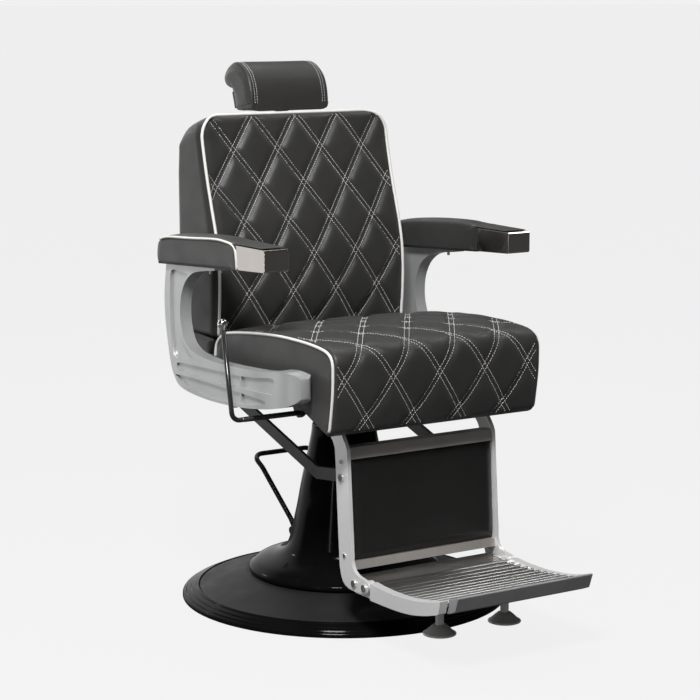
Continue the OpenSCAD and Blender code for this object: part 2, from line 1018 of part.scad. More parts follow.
module headrest_cushion() {
    color("#1c1c1c")
        difference() {
            across(-head_half_w, head_half_w)
                polygon(concat(head_front, [[298, 1077.5], [293.5, 1073.5], [279.5, 1031]]));
            translate([-31, 236, 1030])
                cube([62, 38, 48.5]);
            translate([-31, 228, 1030])
                cube([62, 46, 14]);
        }
}

// ---- leg rest ---------------------------------------------------------------

link_outline = concat(
    smooth([[-229, 406], [-240, 397], [-249, 382]], 3),
    smooth([[-265, 157], [-269, 134], [-281, 112], [-308, 103.5], [-346, 104], [-362, 108],
        [-371, 119], [-369, 129], [-360, 133]], 3),
    smooth([[-334, 137], [-319, 144], [-310, 160], [-309, 175]], 3),
    smooth([[-293, 384], [-286, 398], [-268, 420]], 3),
    arc(leg_pivot, 17, 140, -40)
);

link_screws = [[-272.5, 359], [-285, 169]];

module leg_link() {
    difference() {
        across(link_in_x, link_out_x)
            polygon(link_outline);
        x_pin(leg_pivot, link_in_x - 1, link_out_x + 1, pin_r + run_gap);
        x_pin(bar_leg, link_in_x - 1, link_out_x + 1, bar_pin_r);
        x_pin(fold_pivot, link_in_x - 1, link_out_x + 1, fold_pin_r);
        x_pin(stop_bolt, link_in_x - 1, link_out_x + 1, fold_pin_r);
        for (p = link_screws)
            x_pin(p, link_in_x - 1, link_out_x + 1, 3);
    }
}

module leg_link_left() {
    color("#c6c5c3")
        leg_link();
}

module leg_link_right() {
    color("#c6c5c3")
        mirror([1, 0, 0])
            leg_link();
}

rail_half = link_in_x;

module leg_rails() {
    color("#8b8783")
        difference() {
            across(-rail_half, rail_half) {
                polygon([[-288, 389], [-295, 370], [-295, 366], [-264, 366], [-264, 389]]);
                polygon([[-306, 160], [-309, 143], [-276, 143], [-276, 160]]);
            }
            both_sides() {
                for (p = link_screws)
                    x_pin(p, rail_half - 16, rail_half + 1, 3);
                translate([bar_in_x - 3, -290, 355])
                    cube([rail_half - bar_in_x + 1, 10, 20]);
            }
        }
}

module leg_pad() {
    color("#171717")
        difference() {
            across(-rail_half + 1.5, rail_half - 1.5)
                polygon([
                    [-296, 364.5], [-299, 350], [-309, 182], [-307.5, 161.5], [-279, 161.5],
                    [-269, 364.5]
                ]);
            // Room behind both edges for the bar ends and the screws
            both_sides()
                translate([bar_in_x - 5, -288.5, 150])
                    cube([20, 40, 230]);
        }
}

module leg_bolts() {
    color("#d2d3d5")
        both_sides() {
            side_screw(link_screws[0], link_out_x, 24, 3, 4.5);
            side_screw(link_screws[1], link_out_x, 24, 3, 4.5);
            side_screw(fold_pivot, link_out_x, link_out_x - tread_half - body_gap, fold_pin_r, 7.5);
            side_screw(stop_bolt, link_out_x, link_out_x - tread_half - body_gap, fold_pin_r, 7.5);
            side_screw(bar_leg, link_out_x, link_out_x - bar_in_x + 4, bar_pin_r, 8);
        }
}

// The leg rest end has extra clearance: it is the pivot left open
open_pivot_gap = 1.2;

module recline_bar() {
    difference() {
        across(bar_in_x, bar_out_x)
            polygon(bent_strap_points(bar_back, bar_bend, bar_leg, 26));
        x_pin(bar_back, bar_in_x - 1, bar_out_x + 1, bar_pin_r + run_gap);
        x_pin(bar_leg, bar_in_x - 1, bar_out_x + 1, bar_pin_r + open_pivot_gap);
    }
}

module recline_bar_left() {
    color("#3c3c3e")
        recline_bar();
}

module recline_bar_right() {
    color("#3c3c3e")
        mirror([1, 0, 0])
            recline_bar();
}

// ---- footplate ---------------------------------------------------------------

bracket_in_x = 164.5;
foot_y = -467.5;
bracket_out_x = link_in_x - body_gap;
tread_half = bracket_in_x;

// Height of the tread's top surface: low behind the middle, rising to both ends
tread_low = [-385, 125];
function tread_top(y) =
    tread_low[1] + pow((y - tread_low[0]) / (y < tread_low[0] ? 232 : 137), 2) * 22;

tread_front = -612;
tread_rear = -306;
rib_pitch = 21.5;

module foot_tread() {
    ys = [for (k = [0 : 14]) tread_front + (tread_rear - tread_front) * k / 14];
    color("#6f6e6d") {
        across(-tread_half, tread_half)
            polygon(concat(
                [for (y = ys) [y, tread_top(y) - 1.5]],
                [for (k = [14 : -1 : 0]) [ys[k], tread_top(ys[k]) - 7]]
            ));
        for (k = [0 : rib_count - 1])
            across(-tread_half, tread_half)
                rib_outline(tread_front + 10 + rib_pitch * k);
    }
}

// One rounded rib of the tread, centred at y
module rib_outline(y) {
    z = tread_top(y);
    polygon([
        [y - 7, z - 2.5], [y - 5, z + 0.6], [y - 2, z + 2.4], [y + 2, z + 2.4],
        [y + 5, z + 0.6], [y + 7, z - 2.5]
    ]);
}

bracket_outline = concat(
    smooth([[-372.5, 132], [-420, 129], [-470, 129], [-520, 133], [-570, 141], [-612, 151]], 3),
    [[-606, 125]],
    smooth([[-600, 122], [-561, 111], [-514, 102], [-465, 98], [-415, 97], [-372.5, 97]], 3),
    [[-357, 97], [-310, 97], [-310, 109], [-345, 123]]
);

module foot_brackets() {
    color("#bfbdba")
        both_sides()
            difference() {
                union() {
                    across(bracket_in_x, bracket_out_x)
                        polygon(bracket_outline);
                    x_pin(fold_pivot, bracket_in_x, bracket_out_x, 14);
                    // Shoulder in line with the leg link
                    across(bracket_in_x, link_out_x - 1)
                        intersection() {
                            polygon(bracket_outline);
                            translate([-620, 80])
                                square([620 - 374.5, 90]);
                        }
                }
                x_pin(fold_pivot, bracket_in_x - 1, bracket_out_x + 1, fold_pin_r + run_gap);
            }
}

module foot_nosing() {
    color("#4a4a4b")
        across(-163, 163)
            polygon([
                [-612.5, 153], [-640, 162], [-642, 160], [-632, 132], [-612.5, 124], [-606, 123],
                [-612.5, 140]
            ]);
}

module foot_crossbar() {
    color("#7a7a7c")
        difference() {
            translate([-bracket_in_x, foot_y - 19.5, 103])
                cube([2 * bracket_in_x, 40, 14]);
            for (x = [-foot_x, foot_x])
                translate([x, foot_y, 90])
                    cylinder(h = 40, r = 6 + run_gap);
        }
}

module foot_stem() {
    translate([foot_x, foot_y, 55])
        cylinder(h = 47.5, r = 8.5);
    translate([foot_x, foot_y, 90])
        cylinder(h = 26, r = 6);
}

module foot_stem_left() {
    color("#d2d3d5")
        foot_stem();
}

module foot_stem_right() {
    color("#d2d3d5")
        mirror([1, 0, 0])
            foot_stem();
}

module foot_pad() {
    translate([foot_x, foot_y, 0])
        rotate_extrude()
            polygon([
                [0, 35], [29.5, 35], [31, 36.5], [31, 39.5], [27.5, 42], [18, 51], [13, 55], [0, 55]
            ]);
}

module foot_pad_left() {
    color("#262626")
        foot_pad();
}

module foot_pad_right() {
    color("#262626")
        mirror([1, 0, 0])
            foot_pad();
}

base_plate();
base_rim();
base_cover();
column_shroud();
lift_cylinder();
cylinder_gland();
base_bolts();
pump_housing();
pedal_shaft();
pedal_spring();
pedal_hub();
pedal_hoop();
pump_plunger();
lift_ram();
piston_seal();
thrust_washer();
swivel_socket();
cross_frame();
side_rail_left();
side_rail_right();
seat_board();
seat_cushion();
arm_frame_left();
arm_frame_right();
arm_boards();
arm_pad_left();
arm_pad_right();
arm_caps();
arm_brackets();
arm_bolts();
pivot_pins();
gas_cylinder();
lever_rod();
lever_knob();
back_frame();
back_board();
back_cushion();
back_shell();
headrest_socket();
bar_pins();
gas_rod();
headrest_post();
headrest_bracket();
headrest_plate();
headrest_cushion();
leg_link_left();
leg_link_right();
leg_rails();
leg_pad();
leg_bolts();
recline_bar_left();
recline_bar_right();
foot_tread();
foot_brackets();
foot_nosing();
foot_crossbar();
foot_stem_left();
foot_stem_right();
foot_pad_left();
foot_pad_right();
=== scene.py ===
"""Looks of the hydraulic barber chair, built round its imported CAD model. Lengths in metres."""

import json
import math

import bmesh
import bpy
import numpy as np
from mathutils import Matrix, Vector
from mathutils.bvhtree import BVHTree

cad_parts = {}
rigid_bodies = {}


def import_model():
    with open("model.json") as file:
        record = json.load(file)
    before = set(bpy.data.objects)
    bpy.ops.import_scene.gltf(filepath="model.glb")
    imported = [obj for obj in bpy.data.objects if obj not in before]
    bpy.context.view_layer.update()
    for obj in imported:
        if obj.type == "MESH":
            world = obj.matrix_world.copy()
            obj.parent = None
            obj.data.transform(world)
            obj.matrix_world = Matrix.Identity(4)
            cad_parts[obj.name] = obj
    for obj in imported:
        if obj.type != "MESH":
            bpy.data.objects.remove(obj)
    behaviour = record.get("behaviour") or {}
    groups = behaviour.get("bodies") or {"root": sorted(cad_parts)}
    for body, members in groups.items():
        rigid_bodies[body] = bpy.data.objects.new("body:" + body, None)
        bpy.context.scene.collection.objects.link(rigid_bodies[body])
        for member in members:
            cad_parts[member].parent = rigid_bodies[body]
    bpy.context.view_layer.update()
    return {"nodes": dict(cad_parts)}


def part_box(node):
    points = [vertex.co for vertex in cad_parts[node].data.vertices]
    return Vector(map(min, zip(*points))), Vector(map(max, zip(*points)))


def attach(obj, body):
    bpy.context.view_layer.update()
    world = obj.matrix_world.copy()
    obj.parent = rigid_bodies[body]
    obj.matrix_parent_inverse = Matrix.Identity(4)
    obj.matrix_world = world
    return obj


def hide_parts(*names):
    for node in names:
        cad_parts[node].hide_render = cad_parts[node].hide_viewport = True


for leftover in list(bpy.data.objects):
    bpy.data.objects.remove(leftover)

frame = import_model()
nodes = frame["nodes"]
MM = 0.001
TAU = 2 * math.pi


# ---- materials ----------------------------------------------------------------


class Nodes:
    """Short names for building a material's node tree."""

    def __init__(self, tree):
        self.tree = tree

    def add(self, kind, **values):
        node = self.tree.nodes.new(kind)
        for name, value in values.items():
            if hasattr(node, name):
                setattr(node, name, value)
            else:
                node.inputs[name.replace("_", " ")].default_value = value
        return node

    def link(self, source, target):
        self.tree.links.new(source, target)


def shader(name, colour, rough, metal=0.0, coat=0.0, coat_rough=0.1, sheen=0.0, spec=0.5):
    """A principled material with its constant sockets set, and its Nodes helper."""
    material = bpy.data.materials.new(name)
    material.use_nodes = True
    tree = Nodes(material.node_tree)
    principled = material.node_tree.nodes["Principled BSDF"]
    principled.inputs["Base Color"].default_value = (*colour, 1)
    principled.inputs["Roughness"].default_value = rough
    principled.inputs["Metallic"].default_value = metal
    principled.inputs["Coat Weight"].default_value = coat
    principled.inputs["Coat Roughness"].default_value = coat_rough
    principled.inputs["Sheen Weight"].default_value = sheen
    principled.inputs["Specular IOR Level"].default_value = spec
    return material, tree, principled


def vary_colour(tree, principled, colour, other, scale, detail=3.0, low=0.35, high=0.65):
    """Base colour drifting between two tones."""
    place = tree.add("ShaderNodeTexCoord")
    noise = tree.add("ShaderNodeTexNoise", Scale=scale, Detail=detail)
    ramp = tree.add("ShaderNodeValToRGB")
    ramp.color_ramp.elements[0].position = low
    ramp.color_ramp.elements[1].position = high
    ramp.color_ramp.elements[0].color = (*colour, 1)
    ramp.color_ramp.elements[1].color = (*other, 1)
    tree.link(place.outputs["Object"], noise.inputs["Vector"])
    tree.link(noise.outputs["Fac"], ramp.inputs["Fac"])
    tree.link(ramp.outputs["Color"], principled.inputs["Base Color"])
    return place, ramp


def vary_rough(tree, principled, place, low, high, scale, stretch=(1, 1, 1)):
    """Roughness drifting between two values."""
    mapping = tree.add("ShaderNodeMapping")
    mapping.inputs["Scale"].default_value = stretch
    noise = tree.add("ShaderNodeTexNoise", Scale=scale, Detail=4.0)
    span = tree.add("ShaderNodeMapRange", To_Min=low, To_Max=high, From_Min=0.3, From_Max=0.7)
    tree.link(place.outputs["Object"], mapping.inputs["Vector"])
    tree.link(mapping.outputs["Vector"], noise.inputs["Vector"])
    tree.link(noise.outputs["Fac"], span.inputs["Value"])
    tree.link(span.outputs["Result"], principled.inputs["Roughness"])
    return noise


def bump(tree, principled, height, strength, distance):
    """Bump from one height output."""
    node = tree.add("ShaderNodeBump", Strength=strength, Distance=distance)
    tree.link(height, node.inputs["Height"])
    tree.link(node.outputs["Normal"], principled.inputs["Normal"])
    return node


def leather(name, colour, other, rough_low, rough_high):
    """Pebbled leather: rounded cells with fine creases between them, and soft wrinkles."""
    material, tree, principled = shader(name, colour, rough_low, sheen=0.12, spec=0.45)
    principled.inputs["Sheen Roughness"].default_value = 0.45
    place, _ramp = vary_colour(tree, principled, colour, other, 5.0)
    vary_rough(tree, principled, place, rough_low, rough_high, 26.0)
    warp = tree.add("ShaderNodeTexNoise", Scale=180.0, Detail=2.0)
    shift = tree.add("ShaderNodeVectorMath", operation="MULTIPLY_ADD")
    shift.inputs[1].default_value = (0.0022, 0.0022, 0.0022)
    cells = tree.add("ShaderNodeTexVoronoi", Scale=620.0)
    cells.feature = "DISTANCE_TO_EDGE"
    rounded = tree.add("ShaderNodeMapRange", From_Min=0.0, From_Max=0.35)
    rounded.interpolation_type = "SMOOTHSTEP"
    wrinkle = tree.add("ShaderNodeTexNoise", Scale=34.0, Detail=5.0, Roughness=0.6)
    total = tree.add("ShaderNodeMath", operation="MULTIPLY_ADD")
    total.inputs[1].default_value = 0.55
    tree.link(place.outputs["Object"], warp.inputs["Vector"])
    tree.link(warp.outputs["Color"], shift.inputs[0])
    tree.link(place.outputs["Object"], shift.inputs[2])
    tree.link(shift.outputs["Vector"], cells.inputs["Vector"])
    tree.link(cells.outputs["Distance"], rounded.inputs["Value"])
    tree.link(place.outputs["Object"], wrinkle.inputs["Vector"])
    tree.link(wrinkle.outputs["Fac"], total.inputs[0])
    tree.link(rounded.outputs["Result"], total.inputs[2])
    bump(tree, principled, total.outputs["Value"], 0.16, 0.0006)
    return material


def painted(name, colour, other, rough_low, rough_high, grain=900.0, depth=0.10, metal=0.0,
                coat=0.0, coat_rough=0.1, spec=0.5, ior=1.5):
    """Paint or powder coat with an even fine grain."""
    material, tree, principled = shader(name, colour, rough_low, metal, coat, coat_rough, spec=spec)
    principled.inputs["IOR"].default_value = ior
    place, _ramp = vary_colour(tree, principled, colour, other, 7.0)
    vary_rough(tree, principled, place, rough_low, rough_high, 18.0)
    grains = tree.add("ShaderNodeTexNoise", Scale=grain, Detail=2.0)
    tree.link(place.outputs["Object"], grains.inputs["Vector"])
    bump(tree, principled, grains.outputs["Fac"], depth, 0.0004)
    return material


def brushed(name, colour, other, rough_low, rough_high, stretch, depth=0.05):
    """Metal with fine lines along one direction."""
    material, tree, principled = shader(name, colour, rough_low, metal=1.0)
    place, _ramp = vary_colour(tree, principled, colour, other, 6.0)
    lines = vary_rough(tree, principled, place, rough_low, rough_high, 60.0, stretch)
    lines.inputs["Detail"].default_value = 6.0
    bump(tree, principled, lines.outputs["Fac"], depth, 0.0003)
    return material


def rail_metal(name, colour, other, rough_low, rough_high, stretch):
    """Brushed metal under a thin satin lacquer, which takes some plain light too."""
    material = brushed(name, colour, other, rough_low, rough_high, stretch)
    material.node_tree.nodes["Principled BSDF"].inputs["Metallic"].default_value = 0.6
    return material


def polished(name, colour, rough_low, rough_high):
    """Chrome or polished metal: clear reflections with faint handling marks."""
    material, tree, principled = shader(name, colour, rough_low, metal=1.0)
    other = tuple(c * 0.93 for c in colour)
    place, _ramp = vary_colour(tree, principled, colour, other, 11.0)
    vary_rough(tree, principled, place, rough_low, rough_high, 42.0)
    return material


def grained_wood(name):
    """Plywood: pale face veneer with darker streaks."""
    material, tree, principled = shader(name, (0.38, 0.25, 0.13), 0.6)
    place = tree.add("ShaderNodeTexCoord")
    mapping = tree.add("ShaderNodeMapping")
    mapping.inputs["Scale"].default_value = (4, 60, 4)
    noise = tree.add("ShaderNodeTexNoise", Scale=3.0, Detail=6.0)
    ramp = tree.add("ShaderNodeValToRGB")
    ramp.color_ramp.elements[0].color = (0.25, 0.15, 0.07, 1)
    ramp.color_ramp.elements[1].color = (0.46, 0.32, 0.17, 1)
    tree.link(place.outputs["Object"], mapping.inputs["Vector"])
    tree.link(mapping.outputs["Vector"], noise.inputs["Vector"])
    tree.link(noise.outputs["Fac"], ramp.inputs["Fac"])
    tree.link(ramp.outputs["Color"], principled.inputs["Base Color"])
    bump(tree, principled, noise.outputs["Fac"], 0.2, 0.0005)
    return material


MAT = {
    "leather": leather("leather_black", (0.027, 0.0262, 0.0248), (0.036, 0.035, 0.033), 0.38, 0.50),
    # The leg pad takes a darker copy of the same black leather: painted shade standing in for the seat's
    # shadow over the pad
    "leather_leg_painted_shade": leather("leather_leg_painted_shade", (0.006, 0.0057, 0.0053), (0.009, 0.0086, 0.008), 0.36, 0.46),
    "piping": painted("piping_white", (0.90, 0.88, 0.85), (0.83, 0.81, 0.77), 0.42, 0.5, 1200.0, 0.08),
    "thread": painted("thread_grey", (0.80, 0.79, 0.77), (0.66, 0.65, 0.63), 0.55, 0.65, 2500.0, 0.3),
    "gloss": painted("gloss_black", (0.004, 0.004, 0.004), (0.006, 0.006, 0.006), 0.08, 0.13, 300.0,
                     0.004, spec=0.22, ior=1.22),
    "matte": painted("matte_black", (0.012, 0.012, 0.012), (0.019, 0.019, 0.019), 0.5, 0.62),
    "steel_black": painted("black_steel", (0.014, 0.014, 0.015), (0.022, 0.022, 0.023), 0.38, 0.5),
    "pedal": painted("pedal_black", (0.012, 0.012, 0.012), (0.02, 0.02, 0.02), 0.28, 0.36, 500.0, 0.03),
    "machined": brushed("machined_steel", (0.55, 0.56, 0.57), (0.45, 0.46, 0.47), 0.25, 0.4, (1, 1, 30)),
    "chrome": polished("chrome", (0.86, 0.85, 0.83), 0.04, 0.09),
    "rubber": painted("rubber_black", (0.018, 0.018, 0.018), (0.03, 0.03, 0.029), 0.6, 0.75, 700.0, 0.2),
    "bronze": brushed("bronze", (0.55, 0.36, 0.14), (0.42, 0.27, 0.11), 0.3, 0.42, (1, 1, 20)),
    "wood": grained_wood("plywood"),
    "silver": painted("silver_paint", (0.50, 0.505, 0.505), (0.56, 0.565, 0.565), 0.34, 0.44, 1500.0, 0.10,
                      metal=0.45, coat=0.25, coat_rough=0.25),
    "cast": painted("cast_aluminium", (0.90, 0.895, 0.885), (0.95, 0.945, 0.935), 0.30, 0.40, 700.0, 0.10,
                    metal=0.30),
    "brushed": rail_metal("brushed_steel", (0.60, 0.565, 0.53), (0.50, 0.47, 0.44), 0.34, 0.48, (2, 60, 60)),
    "rod": painted("black_rod", (0.030, 0.030, 0.031), (0.042, 0.042, 0.044), 0.26, 0.34, 500.0, 0.02,
                   metal=0.5, coat=0.5, coat_rough=0.12),
    "foot": painted("foot_rubber", (0.38, 0.376, 0.37), (0.46, 0.455, 0.445), 0.42, 0.55, 500.0, 0.15),
    "cap": polished("cap_chrome", (0.62, 0.58, 0.55), 0.05, 0.10),
    "bar": painted("grey_bar", (0.040, 0.040, 0.042), (0.055, 0.055, 0.057), 0.38, 0.5, 800.0, 0.1),
    "tread": brushed("tread_aluminium", (0.58, 0.57, 0.56), (0.48, 0.47, 0.46), 0.27, 0.40, (2, 60, 60)),
    "nosing": painted("nosing_grey", (0.36, 0.363, 0.366), (0.43, 0.433, 0.436), 0.34, 0.44, 900.0, 0.06,
                      metal=0.3),
}


# ---- mesh helpers ---------------------------------------------------------------


def add_piece(name, mesh, material, body):
    """A smooth shaded object for a mesh, riding on a body."""
    for polygon in mesh.polygons:
        polygon.use_smooth = True
    mesh.materials.append(material)
    piece = bpy.data.objects.new(name, mesh)
    bpy.context.scene.collection.objects.link(piece)
    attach(piece, body)
    return piece


def make(name, verts, faces, material, body):
    """A new piece from points and faces, its double points merged, riding on a body."""
    mesh = bpy.data.meshes.new(name)
    mesh.from_pydata([tuple(v) for v in verts], [], [tuple(f) for f in faces])
    work = bmesh.new()
    work.from_mesh(mesh)
    bmesh.ops.remove_doubles(work, verts=work.verts, dist=1e-6)
    loose = [v for v in work.verts if not v.link_faces]
    bmesh.ops.delete(work, geom=loose, context="VERTS")
    bmesh.ops.recalc_face_normals(work, faces=work.faces)
    work.to_mesh(mesh)
    work.free()
    return add_piece(name, mesh, material, body)


def sharpen(piece, degrees):
    """Smooth shading with edges kept sharp above an angle."""
    piece.data.set_sharp_from_angle(angle=math.radians(degrees))


def curve_through(points, steps):
    """Catmull-Rom curve through points, steps between two of them."""
    p = [np.array(q, float) for q in points]
    out = []
    for i in range(len(p) - 1):
        a, b, c, d = p[max(i - 1, 0)], p[i], p[i + 1], p[min(i + 2, len(p) - 1)]
        for k in range(steps):
            t = k / steps
            out.append(0.5 * (2 * b + (c - a) * t + (2 * a - 5 * b + 4 * c - d) * t * t
                              + (3 * b - a - 3 * c + d) * t ** 3))
    out.append(p[-1])
    return np.array(out)


def lengths(points):
    """Distance along a polyline at each of its points."""
    steps = np.linalg.norm(np.diff(points, axis=0), axis=1)
    return np.concatenate([[0], np.cumsum(steps)])


def resample(points, step):
    """The same polyline with points about one step apart."""
    at = lengths(points)
    count = max(2, int(round(at[-1] / step)) + 1)
    wanted = np.linspace(0, at[-1], count)
    return np.stack([np.interp(wanted, at, points[:, k]) for k in range(points.shape[1])], 1)


def band(ring, other):
    """Faces between two closed rings with the same number of points."""
    count = len(ring)
    return [(ring[k], ring[(k + 1) % count], other[(k + 1) % count], other[k])
            for k in range(count)]


def grid(columns, rows):
    """Faces of a grid of points, and the points of its rim in order."""
    at = [[j * columns + i for i in range(columns)] for j in range(rows)]
    faces = [(at[j][i], at[j][i + 1], at[j + 1][i + 1], at[j + 1][i])
             for j in range(rows - 1) for i in range(columns - 1)]
    rim = at[0] + [row[-1] for row in at[1:]] + at[-1][-2::-1] + [row[0] for row in at[-2:0:-1]]
    return faces, rim


def tube(name, path, radius, material, body, sides, closed=False):
    """A round tube along a path, with flat ends unless it is closed."""
    path = np.array(path, float)
    count = len(path)
    if closed:
        ahead = np.roll(path, -1, 0) - np.roll(path, 1, 0)
    else:
        ahead = np.gradient(path, axis=0)
    ahead /= np.linalg.norm(ahead, axis=1)[:, None]
    normal = np.cross(ahead[0], (0, 0, 1))
    if np.linalg.norm(normal) < 1e-3:
        normal = np.cross(ahead[0], (1, 0, 0))
    normal /= np.linalg.norm(normal)
    verts = []
    angles = np.arange(sides) / sides * TAU
    for i in range(count):
        normal = normal - ahead[i] * (normal @ ahead[i])
        normal /= np.linalg.norm(normal)
        side = np.cross(ahead[i], normal)
        for angle in angles:
            verts.append(path[i] + radius * (math.cos(angle) * normal + math.sin(angle) * side))
    faces = []
    rings = count if closed else count - 1
    for i in range(rings):
        j = (i + 1) % count
        faces += band(range(i * sides, (i + 1) * sides), range(j * sides, (j + 1) * sides))
    if not closed:
        faces.append(tuple(range(sides - 1, -1, -1)))
        faces.append(tuple((count - 1) * sides + k for k in range(sides)))
    return make(name, verts, faces, material, body)


def rounded(profile, radius, steps=4):
    """A closed or open polyline whose corners are cut to small arcs."""
    p = [np.array(q, float) for q in profile]
    out = []
    for i in range(len(p)):
        before, here, after = p[i - 1], p[i], p[(i + 1) % len(p)]
        a, b = before - here, after - here
        la, lb = np.linalg.norm(a), np.linalg.norm(b)
        reach = min(radius, la * 0.45, lb * 0.45)
        start, end = here + a / la * reach, here + b / lb * reach
        for k in range(steps + 1):
            t = k / steps
            out.append((1 - t) ** 2 * start + 2 * t * (1 - t) * here + t * t * end)
    return out


def dress(node, key, width, segments=2, angle=32):
    """A CAD node with its procedural material and softly rounded edges."""
    piece = nodes[node]
    mesh = piece.data
    mesh.materials.clear()
    mesh.materials.append(MAT[key])
    custom = mesh.attributes.get("custom_normal")
    if custom:
        mesh.attributes.remove(custom)
    for polygon in mesh.polygons:
        polygon.use_smooth = True
        polygon.material_index = 0
    weld = piece.modifiers.new("weld", "WELD")
    weld.merge_threshold = 1e-5
    if width:
        flat = piece.modifiers.new("flat", "DECIMATE")
        flat.decimate_type = "DISSOLVE"
        flat.angle_limit = math.radians(0.4)
        edge = piece.modifiers.new("edges", "BEVEL")
        edge.width = width
        edge.segments = segments
        edge.limit_method = "ANGLE"
        edge.angle_limit = math.radians(angle)
        edge.harden_normals = False
        shade = piece.modifiers.new("shade", "WEIGHTED_NORMAL")
        shade.keep_sharp = True


# ---- soft goods -----------------------------------------------------------------


def fit(points, node):
    """A [y, z] outline moved and scaled to fill a CAD node's box."""
    low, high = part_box(node)
    p = np.array(points, float)
    size = p.max(0) - p.min(0)
    wanted = np.array([high.y - low.y, high.z - low.z])
    return (p - p.min(0)) / size * wanted + np.array([low.y, low.z])


def outline_normals(points):
    """Outward normals of a closed [y, z] outline."""
    ahead = np.roll(points, -1, 0) - np.roll(points, 1, 0)
    ahead /= np.linalg.norm(ahead, axis=1)[:, None] + 1e-12
    normal = np.stack([ahead[:, 1], -ahead[:, 0]], 1)
    area = 0.5 * np.sum(points[:, 0] * np.roll(points[:, 1], -1)
                        - np.roll(points[:, 0], -1) * points[:, 1])
    return normal if area > 0 else -normal


def nearest_on(spine, point):
    """The nearest point of a polyline to a point."""
    best, found = 1e9, None
    for a, b in zip(spine[:-1], spine[1:]):
        d = b - a
        t = np.clip((point - a) @ d / (d @ d), 0, 1)
        q = a + t * d
        gap = np.linalg.norm(point - q)
        if gap < best:
            best, found = gap, q
    return found


def smoothstep(value):
    value = np.clip(value, 0, 1)
    return value * value * (3 - 2 * value)


def quilt_height(x, s, pitch_x, pitch_s, channel, puff, soft):
    """Height of diamond quilting sewn with double lines, at x across and s along."""
    spacing = pitch_x * pitch_s / math.hypot(pitch_x, pitch_s)
    total = 1.0
    groove = 0.0
    for sign in (1, -1):
        value = x / pitch_x + sign * s / pitch_s
        gap = np.abs(value - np.round(value)) * spacing
        rise = 1 - np.exp(-np.maximum(gap - channel, 0) / soft)
        total = total * rise
        ridge = np.exp(-((gap - channel) / 0.0011) ** 2)
        groove = np.maximum(groove, ridge)
    return puff * total - 0.0007 * groove


def stations(half, edge, step, fine):
    """Places across a panel as (x, inset): rounded at both ends, evenly spaced between."""
    out = []
    for k in range(fine):
        angle = k / fine * math.pi / 2
        out.append((half - edge + edge * math.cos(angle), edge * (1 - math.sin(angle))))
    flat = np.linspace(half - edge, 0, max(2, int((half - edge) / step) + 1))
    out += [(x, 0.0) for x in flat]
    left = [(-x, inset) for x, inset in out[:-1]]
    return left + out[::-1]


# How far a side panel's rings run towards its spine before one flat face closes them
CLOSE_AT = 0.88


def bolster(name, outline, half, edge, spine, material, body, step=0.006, centre=0.0,
            crown=None, height=None, dome=0.004, rings=7, fine=4, vary=None, soften=None):
    """An upholstered form: a main panel round a closed [y, z] outline, from one side panel
    to the other, each domed. crown and height lift the main panel, vary reshapes the outline,
    soften is how much of the rounded edge each point of the outline gets."""
    closed = np.vstack([outline, outline[:1]])
    loop = resample(closed, step)[:-1]
    along = lengths(np.vstack([loop, loop[:1]]))[:-1]
    normal = outline_normals(loop)
    across = stations(half, edge, step, fine)
    count = len(loop)
    share = np.ones(count) if soften is None else soften(loop)
    verts = []
    for x, inset in across:
        base = loop if vary is None else vary(loop, x)
        lift = -inset * share
        if crown is not None:
            lift = lift + crown(x, base)
        if height is not None:
            lift = lift + height(x, along, base)
        place = base + normal * lift[:, None]
        verts += [(centre + x, q[0], q[1]) for q in place]
    faces = []
    for i in range(len(across) - 1):
        here = i * count
        faces += band(range(here, here + count), range(here + count, here + 2 * count))
    line = [np.array(q, float) for q in spine]
    inner = np.array([nearest_on(line, q) for q in loop])
    for end in (0, len(across) - 1):
        side = -1 if end == 0 else 1
        ring = [end * count + k for k in range(count)]
        rim = np.array([verts[k][1:] for k in ring])
        for r in range(1, rings + 1):
            t = CLOSE_AT * r / rings
            place = rim * (1 - t) + inner * t
            bulge = dome * math.sin(min(t * 1.6, 1) * math.pi / 2)
            fresh = range(len(verts), len(verts) + count)
            verts += [(centre + side * (half + bulge), q[0], q[1]) for q in place]
            faces += band(ring, fresh)
            ring = fresh
        faces.append(tuple(ring))
    piece = make(name, verts, faces, material, body)
    work = bmesh.new()
    work.from_mesh(piece.data)
    bmesh.ops.remove_doubles(work, verts=work.verts, dist=2e-5)
    bmesh.ops.dissolve_degenerate(work, dist=1e-5, edges=work.edges)
    bmesh.ops.recalc_face_normals(work, faces=work.faces)
    work.to_mesh(piece.data)
    work.free()
    return piece


def surface_of(piece):
    """A search tree of the finished surface."""
    graph = bpy.context.evaluated_depsgraph_get()
    bpy.context.view_layer.update()
    return BVHTree.FromObject(piece, graph)


STITCH_SIDES = 6
# Along a stitch: share of its length, thickness, and height over the surface
STITCH_RINGS = ((0.0, 0.25, -0.4), (0.18, 0.85, 0.3), (0.5, 1.0, 0.55), (0.82, 0.85, 0.3),
                (1.0, 0.25, -0.4))
# A stitch's place is searched from this far outside the outline, over this depth
SEARCH_FROM, SEARCH_DEPTH = 0.03, 0.08


def stitch_mesh(verts, faces, start, end, normal, radius):
    """Adds one thread stitch, a short rounded bar lying on the surface."""
    ahead = (end - start).normalized()
    side = normal.cross(ahead).normalized()
    up = ahead.cross(side).normalized()
    base = len(verts)
    span = (end - start).length
    for at, size, lift in STITCH_RINGS:
        middle = start + ahead * (span * at) + up * (radius * lift)
        for k in range(STITCH_SIDES):
            angle = k / STITCH_SIDES * TAU
            verts.append(middle + side * (radius * size * math.cos(angle))
                         + up * (radius * size * math.sin(angle)))
    rings = [range(base + i * STITCH_SIDES, base + (i + 1) * STITCH_SIDES)
             for i in range(len(STITCH_RINGS))]
    for ring, following in zip(rings[:-1], rings[1:]):
        faces += band(ring, following)
    faces.append(tuple(reversed(rings[0])))
    faces.append(tuple(rings[-1]))


